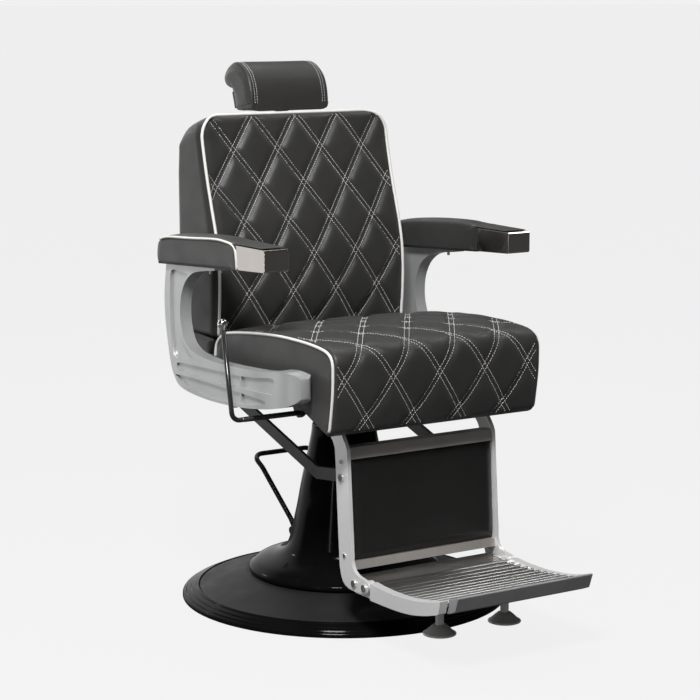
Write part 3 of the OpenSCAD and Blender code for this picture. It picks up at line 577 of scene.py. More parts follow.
def sew(name, body, tree, lines, inside, pitch=0.0058, gap=0.0014, radius=0.00062):
    """Stitches along lines. Each line gives points over the surface and the inward direction."""
    verts, faces = [], []
    for points, inward in lines:
        at = lengths(points)
        where = 0.0
        while where + pitch - gap < at[-1]:
            ends = []
            for s in (where, where + pitch - gap):
                p = Vector([np.interp(s, at, points[:, k]) for k in range(3)])
                d = Vector([np.interp(s, at, inward[:, k]) for k in range(3)]).normalized()
                ends.append((tree.ray_cast(p - d * SEARCH_FROM, d, SEARCH_DEPTH)[0], p, d))
            where += pitch
            (start, start_at, down), (end, end_at, _down) = ends
            if start is None or end is None or not (inside(start_at) and inside(end_at)):
                continue
            if (start - end).length <= pitch * 1.5:
                stitch_mesh(verts, faces, start, end, -down, radius)
    mesh = bpy.data.meshes.new(name)
    mesh.from_pydata(verts, [], faces)
    return add_piece(name, mesh, MAT["thread"], body)


def lattice_lines(pitch_x, pitch_s, s_low, s_high, half, offset, step=0.004):
    """Every line of the double-sewn diamond lattice, as arrays of (x, s)."""
    out = []
    slope = pitch_x / pitch_s
    reach = int((2 * half + (s_high - s_low) * slope) / pitch_x) + 3
    shift = offset * math.hypot(pitch_x, pitch_s) / pitch_s
    for sign in (1, -1):
        for n in range(-reach, reach + 1):
            for side in (-1, 1):
                s = np.arange(s_low, s_high, step)
                x = n * pitch_x - sign * s * slope + side * shift
                keep = np.abs(x) < half
                if keep.sum() > 3:
                    out.append(np.stack([x[keep], s[keep]], 1))
    return out


CLOTH_FRAMES = 10
CLOTH_PRESSURE = 5.0


def puff_up(piece, hold, cap):
    """Cloth simulation: the panels swell under pressure, held where hold is 1. No point moves
    further than cap."""
    before = np.array([v.co for v in piece.data.vertices])
    group = piece.vertex_groups.new(name="sewn")
    for index, weight in enumerate(hold):
        if weight > 0:
            group.add([index], float(weight), "REPLACE")
    cloth = piece.modifiers.new("cloth", "CLOTH")
    cloth.settings.quality = 3
    cloth.settings.mass = 0.4
    cloth.settings.tension_stiffness = 12
    cloth.settings.compression_stiffness = 12
    cloth.settings.shear_stiffness = 8
    cloth.settings.bending_stiffness = 2
    cloth.settings.use_pressure = True
    cloth.settings.uniform_pressure_force = CLOTH_PRESSURE
    cloth.settings.vertex_group_mass = "sewn"
    cloth.settings.effector_weights.gravity = 0
    cloth.collision_settings.use_collision = False
    cloth.point_cache.frame_start = 1
    cloth.point_cache.frame_end = CLOTH_FRAMES
    scene = bpy.context.scene
    for number in range(1, CLOTH_FRAMES + 1):
        scene.frame_set(number)
    graph = bpy.context.evaluated_depsgraph_get()
    moved = np.array([v.co for v in piece.evaluated_get(graph).data.vertices])
    piece.modifiers.clear()
    piece.vertex_groups.clear()
    scene.frame_set(1)
    travel = moved - before
    far = np.linalg.norm(travel, axis=1)
    scale = np.minimum(1, cap / np.maximum(far, 1e-9))
    after = before + travel * scale[:, None]
    piece.data.vertices.foreach_set("co", after.astype(np.float32).ravel())
    piece.data.update()


CORD_SIDES = 12

# The seat: one quilted panel over the top, down the front and under the lip, and two
# plain side panels with white piping in the seams.

seat_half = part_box("seat_cushion")[1].x
SEAT_TOP = [(118, 524), (112, 552), (92, 573), (58, 586), (-46, 599), (-147, 606), (-244, 606),
            (-310, 601), (-340, 592), (-353, 575), (-355, 550), (-353, 505), (-343, 440)]
SEAT_LIP = [(-340, 434), (-330, 427), (-320, 425.5), (-306, 430), (-284, 438.5),
            (-252, 451.5), (-224, 464)]
seat_path = np.vstack([curve_through(SEAT_TOP, 6), curve_through(SEAT_LIP, 4)[1:],
                       [(-208, 471), (-195, 480), (-150, 480), (0, 480), (118, 480)]]) * MM
seat_path = fit(seat_path, "seat_cushion")
seat_recess = (-0.330, -0.196, 0.476)
recess_half = 0.205
# Notches at the rear underneath leave room for the back's hinge plates
notch_in, notch_out, notch_y, notch_z = 0.160, 0.191, 0.082, 0.494
SEAT_PITCH = (0.112, 0.160)
SEAT_SHIFT = -0.005
CHANNEL = 0.0048
PUFF = 0.0086
PUFF_SINK = 0.0062
PUFF_SOFT = 0.0060
SEAT_PUFF = 0.0056
SEAT_SINK = 0.0040
# Stitching stops this far from the side seams
SEAT_THREAD_EDGE = 0.0055


def seat_inside(loop, x):
    """The outline at x: behind the front lip the middle is hollow for the leg rest."""
    out = loop.copy()
    y, z = out[:, 0], out[:, 1]
    if notch_in < abs(x) < notch_out:
        notch = (y > notch_y) & (z < notch_z)
        out[notch, 1] = notch_z
    if abs(x) > recess_half:
        return out
    front, rear, top = seat_recess
    under = (y > front - 0.004) & (y < rear + 0.004) & (z < 0.50) & (z < top + 0.02)
    inner = under & (y > front + 0.012)
    out[inner, 1] = np.maximum(z[inner], top)
    return out


seat_piece_half = seat_half - 0.003
seat_spine = np.array([(0.080, 0.530), (-0.060, 0.540), (-0.250, 0.535), (-0.318, 0.505),
                       (-0.325, 0.470)])
# Distance along the outline is counted from a crossing of the quilting on the front
seat_loop = resample(np.vstack([seat_path, seat_path[:1]]), 0.005)[:-1]
front_row = np.argmin(np.linalg.norm(seat_loop - np.array([-0.3545, 0.5355]), axis=1))
seat_start = lengths(np.vstack([seat_loop, seat_loop[:1]]))[front_row]


def seat_crown(x, base):
    """The padding stands highest in the middle and falls to the piped seams."""
    share = 1 - np.clip(abs(x) / seat_half, 0, 1) ** 2.4
    upper = smoothstep((base[:, 1] - 0.43) / 0.06)
    front = smoothstep((-0.15 - base[:, 0]) / 0.1)
    return share * upper * (0.0055 + 0.002 * front)


def seat_quilt(x, along, base):
    """Quilting of the top and the front, nothing at the seams and underneath."""
    s = along - seat_start
    height = quilt_height(np.full(len(s), x - SEAT_SHIFT), s, SEAT_PITCH[0], SEAT_PITCH[1], CHANNEL,
                          SEAT_PUFF, PUFF_SOFT)
    at_seam = smoothstep((seat_half - 0.004 - abs(x)) / 0.018)
    sewn = ((base[:, 1] > 0.4815) | (base[:, 0] < -0.334)).astype(float)
    lower = smoothstep((base[:, 1] - 0.428) / 0.014)
    rear = smoothstep((0.114 - base[:, 0]) / 0.02)
    return (height - SEAT_SINK) * at_seam * sewn * lower * rear


seat_skin = bolster("seat_skin", seat_path, seat_piece_half, 0.007, seat_spine, MAT["leather"],
                    "seat", 0.005, crown=seat_crown, height=seat_quilt, dome=0.0025,
                    vary=seat_inside)
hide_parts("seat_cushion")

# White piping round both side panels, from the rear of the top to the front lip
seam_end = np.argmin(np.linalg.norm(seat_path - np.array([-0.334, 0.4300]), axis=1))
seam = resample(seat_path[:seam_end + 1], 0.005)
seam_normal = outline_normals(np.vstack([seam, seat_path[seam_end + 1:]]))[:len(seam)]
# It lies on the side panel, further in from the edge down the front than along the top
seam = seam - seam_normal * (0.0045 + 0.004 * np.clip(-seam_normal[:, :1], 0, 1))
for side, label in ((1, "left"), (-1, "right")):
    path = [(side * (seat_piece_half + 0.0010), q[0], q[1]) for q in seam]
    tube("seat_piping_" + label, path, 0.0030, MAT["piping"], "seat", CORD_SIDES)

seat_tree = surface_of(seat_skin)
seat_out = outline_normals(seat_loop)
seat_along = lengths(np.vstack([seat_loop, seat_loop[:1]]))[:-1]
rows = lattice_lines(SEAT_PITCH[0], SEAT_PITCH[1], -0.12, 0.70, seat_half - 0.006, CHANNEL)
seams = []
for row in rows:
    # s grows from the top towards the lip
    where = seat_start - row[:, 1]
    keep = (where > 0.02) & (where < seat_along[-1] * 0.72)
    if keep.sum() < 3:
        continue
    where, x = where[keep], row[keep, 0] + SEAT_SHIFT
    y = np.interp(where, seat_along, seat_loop[:, 0])
    z = np.interp(where, seat_along, seat_loop[:, 1])
    ny = np.interp(where, seat_along, seat_out[:, 0])
    nz = np.interp(where, seat_along, seat_out[:, 1])
    points = np.stack([x, y, z], 1)
    inward = np.stack([np.zeros(len(x)), -ny, -nz], 1)
    seams.append((points, inward))


def on_seat_panel(p):
    """True on the quilted part of the seat's main panel."""
    return abs(p.x) < seat_half - SEAT_THREAD_EDGE and (p.z > 0.500 or p.y < -0.336) and p.y < 0.11


sew("seat_stitching", "seat", seat_tree, seams, on_seat_panel)


# The back: a quilted front panel in a piped frame, boxed round to the rear panel.

back_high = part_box("back_cushion")[1]
back_half = 0.2345
back_rear_half = back_high.x - 0.002
back_top = back_high.z
BACK_FRONT = [(129, 560), (123, 620), (121, 680), (125, 735), (136, 783), (151, 831), (166, 880),
              (178, 924), (188, 967), (193, 1000), (197, 1018), (208, 1026)]
front_line = curve_through(BACK_FRONT, 8) * MM
front_line[:, 1] *= back_top / front_line[-1, 1]
front_line = resample(front_line, 0.002)
front_at = lengths(front_line)
front_total = front_at[-1]
REAR_LINE = np.array([(284, 560), (288, 700), (287, 900), (284, 935), (281.5, 955)]) * MM
# Along the boxing over the top: share of the way back, and how far it stands out in y and z
TOP_BOXING = curve_through([(0, 0, 0), (250, 11.6, 9), (500, 14.2, 14.5), (700, 12, 14.6),
                            (850, 8.5, 8.8), (940, 4.2, 4), (1000, 0, 0)], 5) * MM
# The sides run straight back; the top slopes down to a rear edge below the piping
slope_from, rear_top = 0.940, 0.968
corner_r = 0.054
foot_r = 0.012
BOXING_STEPS = 22
# Stitching stops this far from the piped edge
BACK_THREAD_EDGE = 0.0045
# How far each side turns in where it meets the rear panel
SIDE_FALL = 0.008
BACK_PITCH = (0.109, 0.156)
# A row of crossings near the centre line lies at this height
crossing_z = 0.878
BACK_SHIFT = 0.003
crossing_s = np.interp(crossing_z, front_line[:, 1], front_at)


def rounded_square(a, b, half_a, low_b, high_b, top_r, low_r):
    """Moves a point of a rectangle so that the rectangle's corners become round."""
    radius = top_r if b > (low_b + high_b) / 2 else low_r
    side = 1 if a >= 0 else -1
    edge_a = half_a - radius
    if b > (low_b + high_b) / 2:
        out_b, turn = b - (high_b - radius), 1
        middle = high_b - radius
    else:
        out_b, turn = (low_b + radius) - b, -1
        middle = low_b + radius
    out_a = abs(a) - edge_a
    if out_a <= 0 or out_b <= 0:
        return a, b
    p, q = out_a / radius, out_b / radius
    return (side * (edge_a + radius * p * math.sqrt(1 - q * q / 2)),
            middle + turn * radius * q * math.sqrt(1 - p * p / 2))


def back_grid(step):
    """Places across and along the front panel, spaced about one step."""
    across = np.linspace(-back_half, back_half, int(2 * back_half / step) + 1)
    up = np.linspace(0, front_total, int(front_total / step) + 1)
    return across, up


def back_front_point(x, s):
    """Point and outward normal of the front panel."""
    y = np.interp(s, front_at, front_line[:, 0])
    z = np.interp(s, front_at, front_line[:, 1])
    d = 0.004
    y1, y0 = np.interp(s + d, front_at, front_line[:, 0]), np.interp(s - d, front_at, front_line[:, 0])
    z1, z0 = np.interp(s + d, front_at, front_line[:, 1]), np.interp(s - d, front_at, front_line[:, 1])
    n = np.array([0, -(z1 - z0), (y1 - y0)])
    n = n / (np.linalg.norm(n) + 1e-12)
    return np.array([x, y, z]), n


def rear_height(z):
    """Height on the rear panel of the point that lies behind height z of the front panel."""
    if z < slope_from:
        return z
    return slope_from + (z - slope_from) * (rear_top - slope_from) / (back_top - slope_from)


def back_lift(x, s):
    """Crown and quilting of the front panel, nothing at its piped edge."""
    edge_x = back_half - abs(x)
    edge_s = min(s, front_total - s)
    near = min(edge_x, edge_s)
    crown = 0.007 * (1 - (x / back_half) ** 2) * smoothstep(edge_s / 0.08)
    height = quilt_height(np.array(x - BACK_SHIFT), np.array(s - crossing_s), BACK_PITCH[0],
                          BACK_PITCH[1], CHANNEL, PUFF, PUFF_SOFT)
    return crown + (float(height) - PUFF_SINK) * float(smoothstep(near / 0.018))


def rear_place(x, z):
    """Point of the flat rear panel that lies behind a point of the front panel."""
    rear_z = rear_height(z)
    rear_y = np.interp(rear_z, REAR_LINE[:, 1], REAR_LINE[:, 0])
    return np.array([x * (back_rear_half - SIDE_FALL) / back_half, rear_y, rear_z])


def build_back(step):
    """Points and faces of the whole back: quilted front, boxing and rear panel."""
    across, up = back_grid(step)
    nx, ns = len(across), len(up)
    verts = []
    for s in up:
        for x in across:
            a, b = rounded_square(x, s, back_half, 0, front_total, corner_r, foot_r)
            p, n = back_front_point(a, b)
            verts.append(p + n * back_lift(a, b))
    faces, rim = grid(nx, ns)
    # Boxing from the piped edge back to the rear panel
    ring = rim
    rear_places = {index: rear_place(verts[index][0], verts[index][2]) for index in rim}
    for k in range(1, BOXING_STEPS + 1):
        t = k / BOXING_STEPS
        fresh = range(len(verts), len(verts) + len(rim))
        for index in rim:
            start = np.array(verts[index])
            end = rear_places[index]
            x, _y, z = start
            ux = smoothstep((abs(x) - (back_half - corner_r)) / corner_r)
            uz = smoothstep((z - (back_top - corner_r * 1.3)) / (corner_r * 1.3))
            low = smoothstep((0.575 - z) / 0.012) * (1 - ux)
            turn = max(0.0, (t - 0.90) / 0.10)
            swell = ux * (0.006 * float(smoothstep(t / 0.15)) + SIDE_FALL * t
                          - SIDE_FALL * (1 - math.sqrt(max(0.0, 1 - turn * turn))))
            rise = uz * np.array([np.interp(t, TOP_BOXING[:, 0], TOP_BOXING[:, c]) for c in (1, 2)])
            place = start * (1 - t) + end * t
            place[0] += math.copysign(swell, x)
            place[1] += rise[0]
            place[2] += rise[1] - 0.004 * low * math.sin(math.pi * t)
            verts.append(place)
        faces += band(ring, fresh)
        ring = fresh
    # Rear panel, the same grid drawn behind
    rear_of = dict(zip(rim, ring))
    table = {}
    for j in range(ns):
        for i in range(nx):
            index = j * nx + i
            if index in rear_of:
                table[index] = rear_of[index]
                continue
            a, b = rounded_square(across[i], up[j], back_half, 0, front_total, corner_r, foot_r)
            x, _y, z = back_front_point(a, b)[0]
            near = min(back_half - abs(a), b, front_total - b)
            place = rear_place(x, z)
            place[1] += 0.004 * float(smoothstep(near / 0.05))
            table[index] = len(verts)
            verts.append(place)
    for j in range(ns - 1):
        for i in range(nx - 1):
            faces.append((table[j * nx + i], table[(j + 1) * nx + i],
                          table[(j + 1) * nx + i + 1], table[j * nx + i + 1]))
    return verts, faces


back_verts, back_faces = build_back(0.005)
back_skin = make("back_skin", back_verts, back_faces, MAT["leather"], "back")
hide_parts("back_cushion", "back_shell")

# Piping round the front panel
edge_line = []
EDGE_POINTS = 400
for k in range(EDGE_POINTS):
    # A walk round the rectangle: up the right side, over the top, down the left
    walk = k / EDGE_POINTS * (2 * front_total + 2 * back_half)
    if walk < front_total:
        a, b = back_half, walk
    elif walk < front_total + 2 * back_half:
        a, b = back_half - (walk - front_total), front_total
    else:
        a, b = -back_half, front_total - (walk - front_total - 2 * back_half)
    a, b = rounded_square(a, b, back_half, 0, front_total, corner_r, foot_r)
    p, n = back_front_point(a, b)
    edge_line.append(p + n * 0.0006)
edge_line = resample(np.array(edge_line), 0.005)
tube("back_piping", edge_line, 0.0032, MAT["piping"], "back", CORD_SIDES)

back_tree = surface_of(back_skin)
rows = lattice_lines(BACK_PITCH[0], BACK_PITCH[1], -crossing_s, front_total - crossing_s,
                     back_half - 0.002, CHANNEL)
seams = []
for row in rows:
    places = [back_front_point(x + BACK_SHIFT, s + crossing_s) for x, s in row]
    points = np.array([p for p, _n in places])
    inward = np.array([-n for _p, n in places])
    seams.append((points, inward))


def on_back_panel(p):
    """True inside the piped edge of the back's front panel."""
    x, s = abs(p.x), float(np.interp(p.z, front_line[:, 1], front_at))
    if x > back_half - BACK_THREAD_EDGE or s < 0.006 or s > front_total - BACK_THREAD_EDGE:
        return False
    over_x, over_s = x - (back_half - corner_r), s - (front_total - corner_r)
    outside = math.hypot(over_x, over_s) > corner_r - BACK_THREAD_EDGE
    return not (over_x > 0 and over_s > 0 and outside)


sew("back_stitching", "back", back_tree, seams, on_back_panel)

# A padded skirt below each side of the back covers its hinge
SKIRT = [(152, 555.7), (156, 536), (162, 520), (276, 520), (284, 528), (284, 562), (220, 562)]
skirt_path = np.array(rounded(SKIRT, 7, 4)) * MM
skirt_spine = np.array([(0.176, 0.541), (0.262, 0.541)])
skirt_mid = 0.221
for side, label in ((1, "left"), (-1, "right")):
    skirt = bolster("back_skirt_" + label, skirt_path, 0.0165, 0.005, skirt_spine,
                    MAT["leather"], "back", 0.005, centre=side * skirt_mid, dome=0.002, rings=4)


# The headrest: a rolled cushion with a double seam near each end.

head_low, head_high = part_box("headrest_cushion")
head_half = head_high.x
HEAD = [(213, 1031), (214.5, 1056), (219, 1082), (230, 1102), (246, 1117), (264, 1127), (285, 1131),
        (303, 1127), (319, 1117), (329, 1104), (331, 1094), (324, 1084.5), (310, 1079)]
head_path = np.vstack([curve_through(HEAD, 6), [(298, 1077.5), (293.5, 1073.5),
                                                (287, 1052), (279.5, 1031)]]) * MM
head_path = fit(rounded(head_path, 0.006, 3), "headrest_cushion")
head_path[:, 1] += 0.0045 * smoothstep((head_path[:, 1] - 1.080) / 0.030)
head_spine = np.array([(0.246, 1.052), (0.250, 1.086), (0.274, 1.104), (0.305, 1.100)])
HEAD_LOW_R = 0.022
HEAD_TOP_R = 0.014
HEAD_SEAM = 0.017
# Each end seam is sewn with two lines, this far either side of it
HEAD_THREADS = (-0.003, 0.003)


def head_seams(x, _along, base):
    """Two sewn lines near each end of the roll pull the cover in."""
    out = 0.0
    for offset in HEAD_THREADS:
        gap = abs(abs(x) - (head_half - HEAD_SEAM + offset))
        out += -0.0009 * math.exp(-(gap / 0.0016) ** 2)
    return np.full(len(base), out)


def head_ends(loop, x):
    """The front face's corners are round: wide ones below, tighter ones above."""
    out = loop.copy()
    z = out[:, 1]
    corners = ((HEAD_LOW_R, head_low.z, 0.050, 1), (HEAD_TOP_R, head_high.z, 0.035, -1))
    for radius, edge, reach, way in corners:
        over = np.clip((abs(x) - (head_half - radius)) / radius, 0, 0.97)
        shift = radius * (1 - math.sqrt(1 - over * over))
        near = np.clip(1 - np.abs(z - edge) / reach, 0, 1)
        if way > 0:
            near = near * np.clip(1 - (out[:, 0] - head_low.y) / 0.040, 0, 1)
        out[:, 1] += way * shift * near
    return out


head_skin = bolster("headrest_skin", head_path, head_half - 0.003, 0.007, head_spine,
                    MAT["leather"], "headrest", 0.003, height=head_seams, dome=0.003, rings=8,
                    fine=6, vary=head_ends)
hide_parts("headrest_cushion")
# The roll swells between its end seams and stays flat where the metal plate backs it
hold = []
for vertex in head_skin.data.vertices:
    x, y, z = vertex.co
    seam_gap = abs(abs(x) - (head_half - HEAD_SEAM))
    backed = z < head_low.z + 0.006 or (y > 0.270 and z < 1.078)
    hold.append(1.0 if backed or seam_gap < 0.0045 or abs(x) > head_half - 0.004 else 0.0)
puff_up(head_skin, hold, 0.004)
head_tree = surface_of(head_skin)
head_loop = resample(np.vstack([head_path, head_path[:1]]), 0.003)
head_out = outline_normals(head_loop[:-1])
head_out = np.vstack([head_out, head_out[:1]])
seams = []
for side in (-1, 1):
    for offset in HEAD_THREADS:
        x = side * (head_half - HEAD_SEAM) + offset
        points = np.column_stack([np.full(len(head_loop), x), head_loop])
        seams.append((points, np.column_stack([np.zeros(len(head_loop)), -head_out])))


def on_head_front(p):
    """True on the headrest's face and over its top."""
    return p.z > 1.046 and (p.y < 0.300 or p.z > 1.115)


sew("headrest_stitching", "headrest", head_tree, seams, on_head_front, radius=0.0005)


# ---- arm pads -------------------------------------------------------------------

pad_low, pad_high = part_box("arm_pad_left")
pad_half = (pad_high.x - pad_low.x) / 2
pad_mid = (pad_high.x + pad_low.x) / 2
PAD_TOP = [(226, 716.5), (234, 720), (238.5, 728), (239, 738), (237, 752), (231, 763),
           (214, 771), (176, 778.5), (104, 785), (40, 789.5), (-20, 792.5), (-70, 792.5),
           (-120, 791), (-180, 790), (-206, 789.5)]
pad_path = np.vstack([curve_through(PAD_TOP, 6), [(-207, 787), (-150, 787), (-106, 787),
                                                  (-104, 734.8), (60, 725.7), (220, 716.8)]]) * MM
pad_path = fit(pad_path, "arm_pad_left")
pad_spine = np.array([(0.205, 0.745), (0.100, 0.752), (-0.070, 0.762), (-0.100, 0.7885),
                      (-0.200, 0.7885)])
# Towards the front the cover thins to a flat tongue over the chrome cap
tongue_y = -0.098
# Along the pad's outer top edge and down behind the cap
PAD_PIPING = [(213, 769.7), (176, 777.3), (83, 783), (-17.6, 790), (-61, 789.2), (-87.7, 785.5),
              (-101, 777.6), (-106.2, 756.5), (-107.5, 737)]
pad_cord_x = 0.3255


def pad_crown(x, base):
    """The pad is fullest along the middle of its top."""
    body = smoothstep((base[:, 0] - tongue_y) / 0.06)
    return 0.003 * (1 - (x / pad_half) ** 2) * smoothstep((base[:, 1] - 0.75) / 0.03) * body


def pad_edge(loop):
    """The rounded edge is left out round the thin tongue."""
    return 0.12 + 0.88 * smoothstep((loop[:, 0] - tongue_y) / 0.02)


def pad_plan(loop, x):
    """Seen from above, the rear end is rounded."""
    out = loop.copy()
    behind = np.clip((out[:, 0] - 0.150) / 0.089, 0, 1) ** 2
    out[:, 0] -= 0.007 * behind * (abs(x) / pad_half) ** 3
    return out


for side, label in ((1, "left"), (-1, "right")):
    pad = bolster("arm_pad_skin_" + label, pad_path, pad_half - 0.002, 0.009, pad_spine,
                  MAT["leather"], "seat", 0.004, centre=side * pad_mid, crown=pad_crown,
                  dome=0.0015, rings=5, fine=5, vary=pad_plan, soften=pad_edge)
    hold = []
    for vertex in pad.data.vertices:
        x, y, z = vertex.co
        outer = abs(abs(x) - pad_mid) > pad_half - 0.004
        hold.append(1.0 if outer or y < tongue_y + 0.02 or z < 0.742 else 0.0)
    puff_up(pad, hold, 0.003)
    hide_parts("arm_pad_" + label)
    top = resample(curve_through(PAD_PIPING, 8) * MM, 0.005)
    path = [(side * pad_cord_x, q[0], q[1]) for q in top]
    tube("arm_piping_" + label, path, 0.0026, MAT["piping"], "seat", CORD_SIDES)


# ---- leg rest pad ------------------------------------------------------------------

leg_low, leg_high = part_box("leg_pad")


def leg_pad_piece():
    """A thin padded panel with rounded edges, its face slightly crowned."""
    columns, levels = 60, 40
    verts = []
    height = leg_high.z - leg_low.z
    half = leg_high.x
    for j in range(levels + 1):
        v = j / levels
        z = leg_low.z + height * v
        face_y = np.interp(z, [leg_low.z, 0.182, 0.350, leg_high.z],
                           [-0.3075, -0.309, -0.299, -0.296])
        for i in range(columns + 1):
            u = -1 + 2 * i / columns
            edge = min((1 - abs(u)) * half, min(v, 1 - v) * height)
            fall = 0.009 * (1 - float(smoothstep(edge / 0.020)) ** 0.6)
            crown = 0.0045 * (1 - u * u) * float(smoothstep(edge / 0.07))
            verts.append((u * half, face_y + fall - crown, z))
    faces, rim = grid(columns + 1, levels + 1)
    fresh = range(len(verts), len(verts) + len(rim))
    for index in rim:
        x, y, z = verts[index]
        verts.append((x, min(y + 0.010, -0.2885), z))
    faces += band(rim, fresh)
    faces.append(tuple(fresh))
    # Its darker leather copy is painted shade for the shadow that the seat casts on the pad
    piece = make("leg_pad_skin", verts, faces, MAT["leather_leg_painted_shade"], "leg_rest")
    sharpen(piece, 50)
    return piece


leg_skin = leg_pad_piece()
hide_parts("leg_pad")


# A bright ring is rolled over the lower edge of each rubber foot

RING_POINTS = 48
RING_TUBE_R = 0.0022
for label in ("left", "right"):
    foot_low, foot_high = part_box("foot_pad_" + label)
    foot_mid = (foot_low + foot_high) / 2
    ring_r = (foot_high.x - foot_low.x) / 2 + 0.0004
    ring = [(foot_mid.x + ring_r * math.cos(k / RING_POINTS * TAU),
             foot_mid.y + ring_r * math.sin(k / RING_POINTS * TAU), foot_low.z + RING_TUBE_R)
            for k in range(RING_POINTS)]
    tube("foot_ring_" + label, ring, RING_TUBE_R, MAT["cast"], "foot_" + label, 8, closed=True)


# ---- carried-over CAD nodes ----------------------------------------------------------

# Each material, and the CAD nodes that it is put on
FINISH = {
    "steel_black": ("base_plate lift_cylinder pump_housing swivel_socket cross_frame side_rail_left "
                   "side_rail_right arm_brackets gas_cylinder back_frame headrest_plate "
                   "foot_crossbar"),
    "gloss": "base_rim column_shroud",
    "matte": "base_cover arm_boards",
    "machined": ("cylinder_gland base_bolts pedal_shaft pedal_spring pump_plunger arm_bolts "
                "pivot_pins headrest_socket bar_pins headrest_bracket"),
    "pedal": "pedal_hub pedal_hoop",
    "chrome": "lift_ram lever_knob gas_rod headrest_post leg_bolts",
    "rubber": "piston_seal",
    "bronze": "thrust_washer",
    "wood": "seat_board back_board",
    "silver": "arm_frame_left arm_frame_right",
    "cap": "arm_caps",
    "rod": "lever_rod",
    "cast": "leg_link_left leg_link_right foot_brackets foot_stem_left foot_stem_right",
    "brushed": "leg_rails",
    "bar": "recline_bar_left recline_bar_right",
    "tread": "foot_tread",
    "nosing": "foot_nosing",
    "foot": "foot_pad_left foot_pad_right",
}
# Edge radii of the nodes whose edges are visibly round; the others take EDGE
EDGE = 0.0006
WIDE = {"arm_frame_left": 0.003, "arm_frame_right": 0.003, "leg_link_left": 0.0015,
        "leg_link_right": 0.0015, "arm_caps": 0.0012, "foot_nosing": 0.0012,
        "recline_bar_left": 0.001, "recline_bar_right": 0.001, "foot_brackets": 0.0012}
ROUND = {"column_shroud", "base_cover", "pedal_hoop", "lever_rod", "lever_knob", "lift_ram",
         "pedal_spring"}
for key, names in FINISH.items():
    for node in names.split():
        if node in ROUND:
            dress(node, key, 0)
            sharpen(nodes[node], 35)
        else:
            dress(node, key, WIDE.get(node, EDGE), 3 if node in WIDE else 2)


# ---- studio ---------------------------------------------------------------------------


def softbox(name, place, target, size, power, colour=(1, 1, 1)):
    """A large rectangular light aimed at a point."""
    light = bpy.data.lights.new(name, "AREA")
    light.shape = "RECTANGLE"
    light.size, light.size_y = size
    light.energy = power
    light.color = colour
    lamp = bpy.data.objects.new(name, light)
    lamp.location = place
    lamp.rotation_mode = "QUATERNION"
    lamp.rotation_quaternion = (Vector(target) - Vector(place)).to_track_quat("-Z", "Y")
    bpy.context.scene.collection.objects.link(lamp)
    return lamp


# What the camera sees of the surroundings and of the floor, and what the floor lights up
PALE = 0.879
FLOOR_GLOW = 0.852
FLOOR_BOUNCE = 0.06
# The surroundings are brightest behind the chair, where the backdrop stands
BRIGHT_SIDE = (-0.10, 0.99, 0.05)


def one_sided(tree, coordinate, near, far, low, high, seen):
    """A strength that is seen by the camera, and to all other rays is brightest towards
    BRIGHT_SIDE: it goes from low to high as the ray's place along it goes from near to far."""
    place = tree.add("ShaderNodeTexCoord")
    facing = tree.add("ShaderNodeVectorMath", operation="DOT_PRODUCT")
    facing.inputs[1].default_value = BRIGHT_SIDE
    tree.link(place.outputs[coordinate], facing.inputs[0])
    level = tree.add("ShaderNodeMapRange", From_Min=near, From_Max=far, To_Min=low, To_Max=high)
    level.interpolation_type = "SMOOTHSTEP"
    tree.link(facing.outputs["Value"], level.inputs["Value"])
    rays = tree.add("ShaderNodeLightPath")
    pick = tree.add("ShaderNodeMix")
    pick.data_type = "FLOAT"
    tree.link(rays.outputs["Is Camera Ray"], pick.inputs[0])
    tree.link(level.outputs["Result"], pick.inputs[2])
    pick.inputs[3].default_value = seen
    return pick.outputs[0]


def studio_floor():
    """A pale floor that reads as an even backdrop and takes only a faint shadow."""
    mesh = bpy.data.meshes.new("floor")
    size = 400
    mesh.from_pydata([(-size, -size, 0), (size, -size, 0), (size, size, 0), (-size, size, 0)], [],
                     [(0, 1, 2, 3)])
    floor = bpy.data.objects.new("floor", mesh)
    bpy.context.scene.collection.objects.link(floor)
    material = bpy.data.materials.new("floor")
    material.use_nodes = True
    tree = Nodes(material.node_tree)
    principled = material.node_tree.nodes["Principled BSDF"]
    principled.inputs["Base Color"].default_value = (0.04, 0.04, 0.04, 1)
    principled.inputs["Roughness"].default_value = 0.9
    principled.inputs["Specular IOR Level"].default_value = 0.0
    principled.inputs["Emission Color"].default_value = (1, 1, 1, 1)
    strength = one_sided(tree, "Object", 0.9, 2.2, FLOOR_BOUNCE, 0.90, FLOOR_GLOW)
    tree.link(strength, principled.inputs["Emission Strength"])
    mesh.materials.append(material)
    floor.location.z = -0.0005


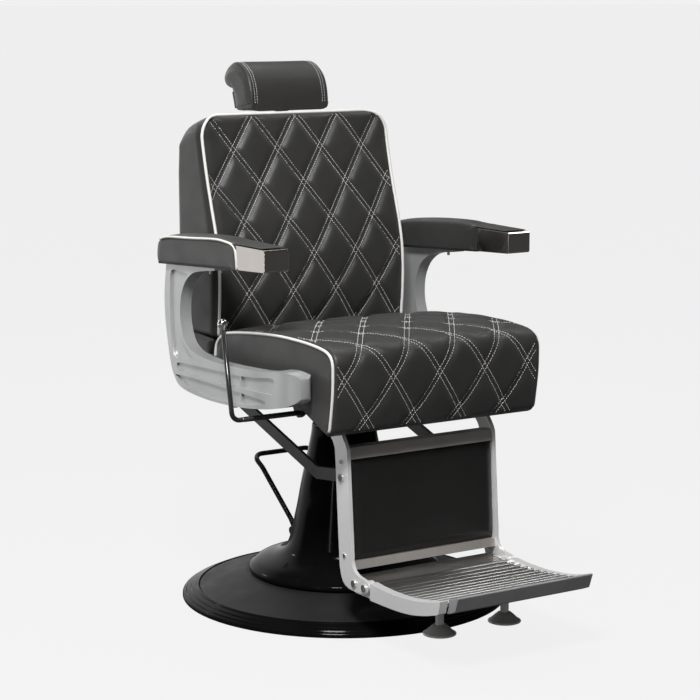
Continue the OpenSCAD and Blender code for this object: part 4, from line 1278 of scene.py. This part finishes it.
def studio_world():
    """Even pale surroundings to the camera, and a one-sided soft gradient to everything else."""
    world = bpy.data.worlds.new("studio")
    bpy.context.scene.world = world
    world.use_nodes = True
    tree = Nodes(world.node_tree)
    background = world.node_tree.nodes["Background"]
    background.inputs["Color"].default_value = (1, 1, 1, 1)
    strength = one_sided(tree, "Generated", 0.70, 0.88, 0.05, 0.95, PALE)
    tree.link(strength, background.inputs["Strength"])


studio_floor()
studio_world()
softbox("key", (-1.9, -2.1, 3.6), (0, 0, 0.65), (0.9, 0.9), 182, (0.99, 0.99, 1.0))
softbox("top", (0.3, 1.0, 3.4), (0, 0, 0.5), (2.2, 1.4), 22)
softbox("tread", (1.7, 0.1, 2.6), (0, -0.40, 0.15), (0.6, 0.6), 7)
for name, place, size, power in (("left", (-3.4, 0.7, 1.6), (1.6, 2.4), 13),
                                 ("front", (1.0, -4.2, 2.0), (3.0, 2.0), 7)):
    # Fill for the matt surfaces alone, so the gloss black stays dark
    fill = softbox(name, place, (0, 0, 0.6), size, power, (0.97, 0.98, 1.0))
    fill.visible_glossy = False
# A strip and a small box for glints on the bosses, rods and shroud
softbox("strip", (-2.5, -1.25, 0.85), (0, 0, 0.6), (0.10, 1.0), 3.5)
softbox("glint", (-0.95, 2.75, 1.85), (0, 0, 0.2), (0.30, 0.22), 3.0)

view = bpy.context.scene.view_settings
view.view_transform = "Standard"
view.look = "None"
bpy.context.scene.display_settings.display_device = "sRGB"

# The camera stands to the sitter's right of the front, a little above the headrest
CAMERA_TURN = math.radians(33.2)
CAMERA_PITCH = math.radians(9.3)
CAMERA_REACH = 4.512
CAMERA_SIDE = 0.0126
CAMERA_HEIGHT = 1.270
back = Vector((-math.sin(CAMERA_TURN), -math.cos(CAMERA_TURN), 0))
right = Vector((math.cos(CAMERA_TURN), -math.sin(CAMERA_TURN), 0))
camera = bpy.data.objects.new("camera", bpy.data.cameras.new("camera"))
bpy.context.scene.collection.objects.link(camera)
camera.location = back * CAMERA_REACH + right * CAMERA_SIDE + Vector((0, 0, CAMERA_HEIGHT))
aim = -back * math.cos(CAMERA_PITCH) - Vector((0, 0, 1)) * math.sin(CAMERA_PITCH)
camera.rotation_mode = "QUATERNION"
camera.rotation_quaternion = aim.to_track_quat("-Z", "Y")
camera.data.sensor_width = 36
camera.data.lens = 110.2
camera.data.clip_end = 1000
bpy.context.scene.camera = camera
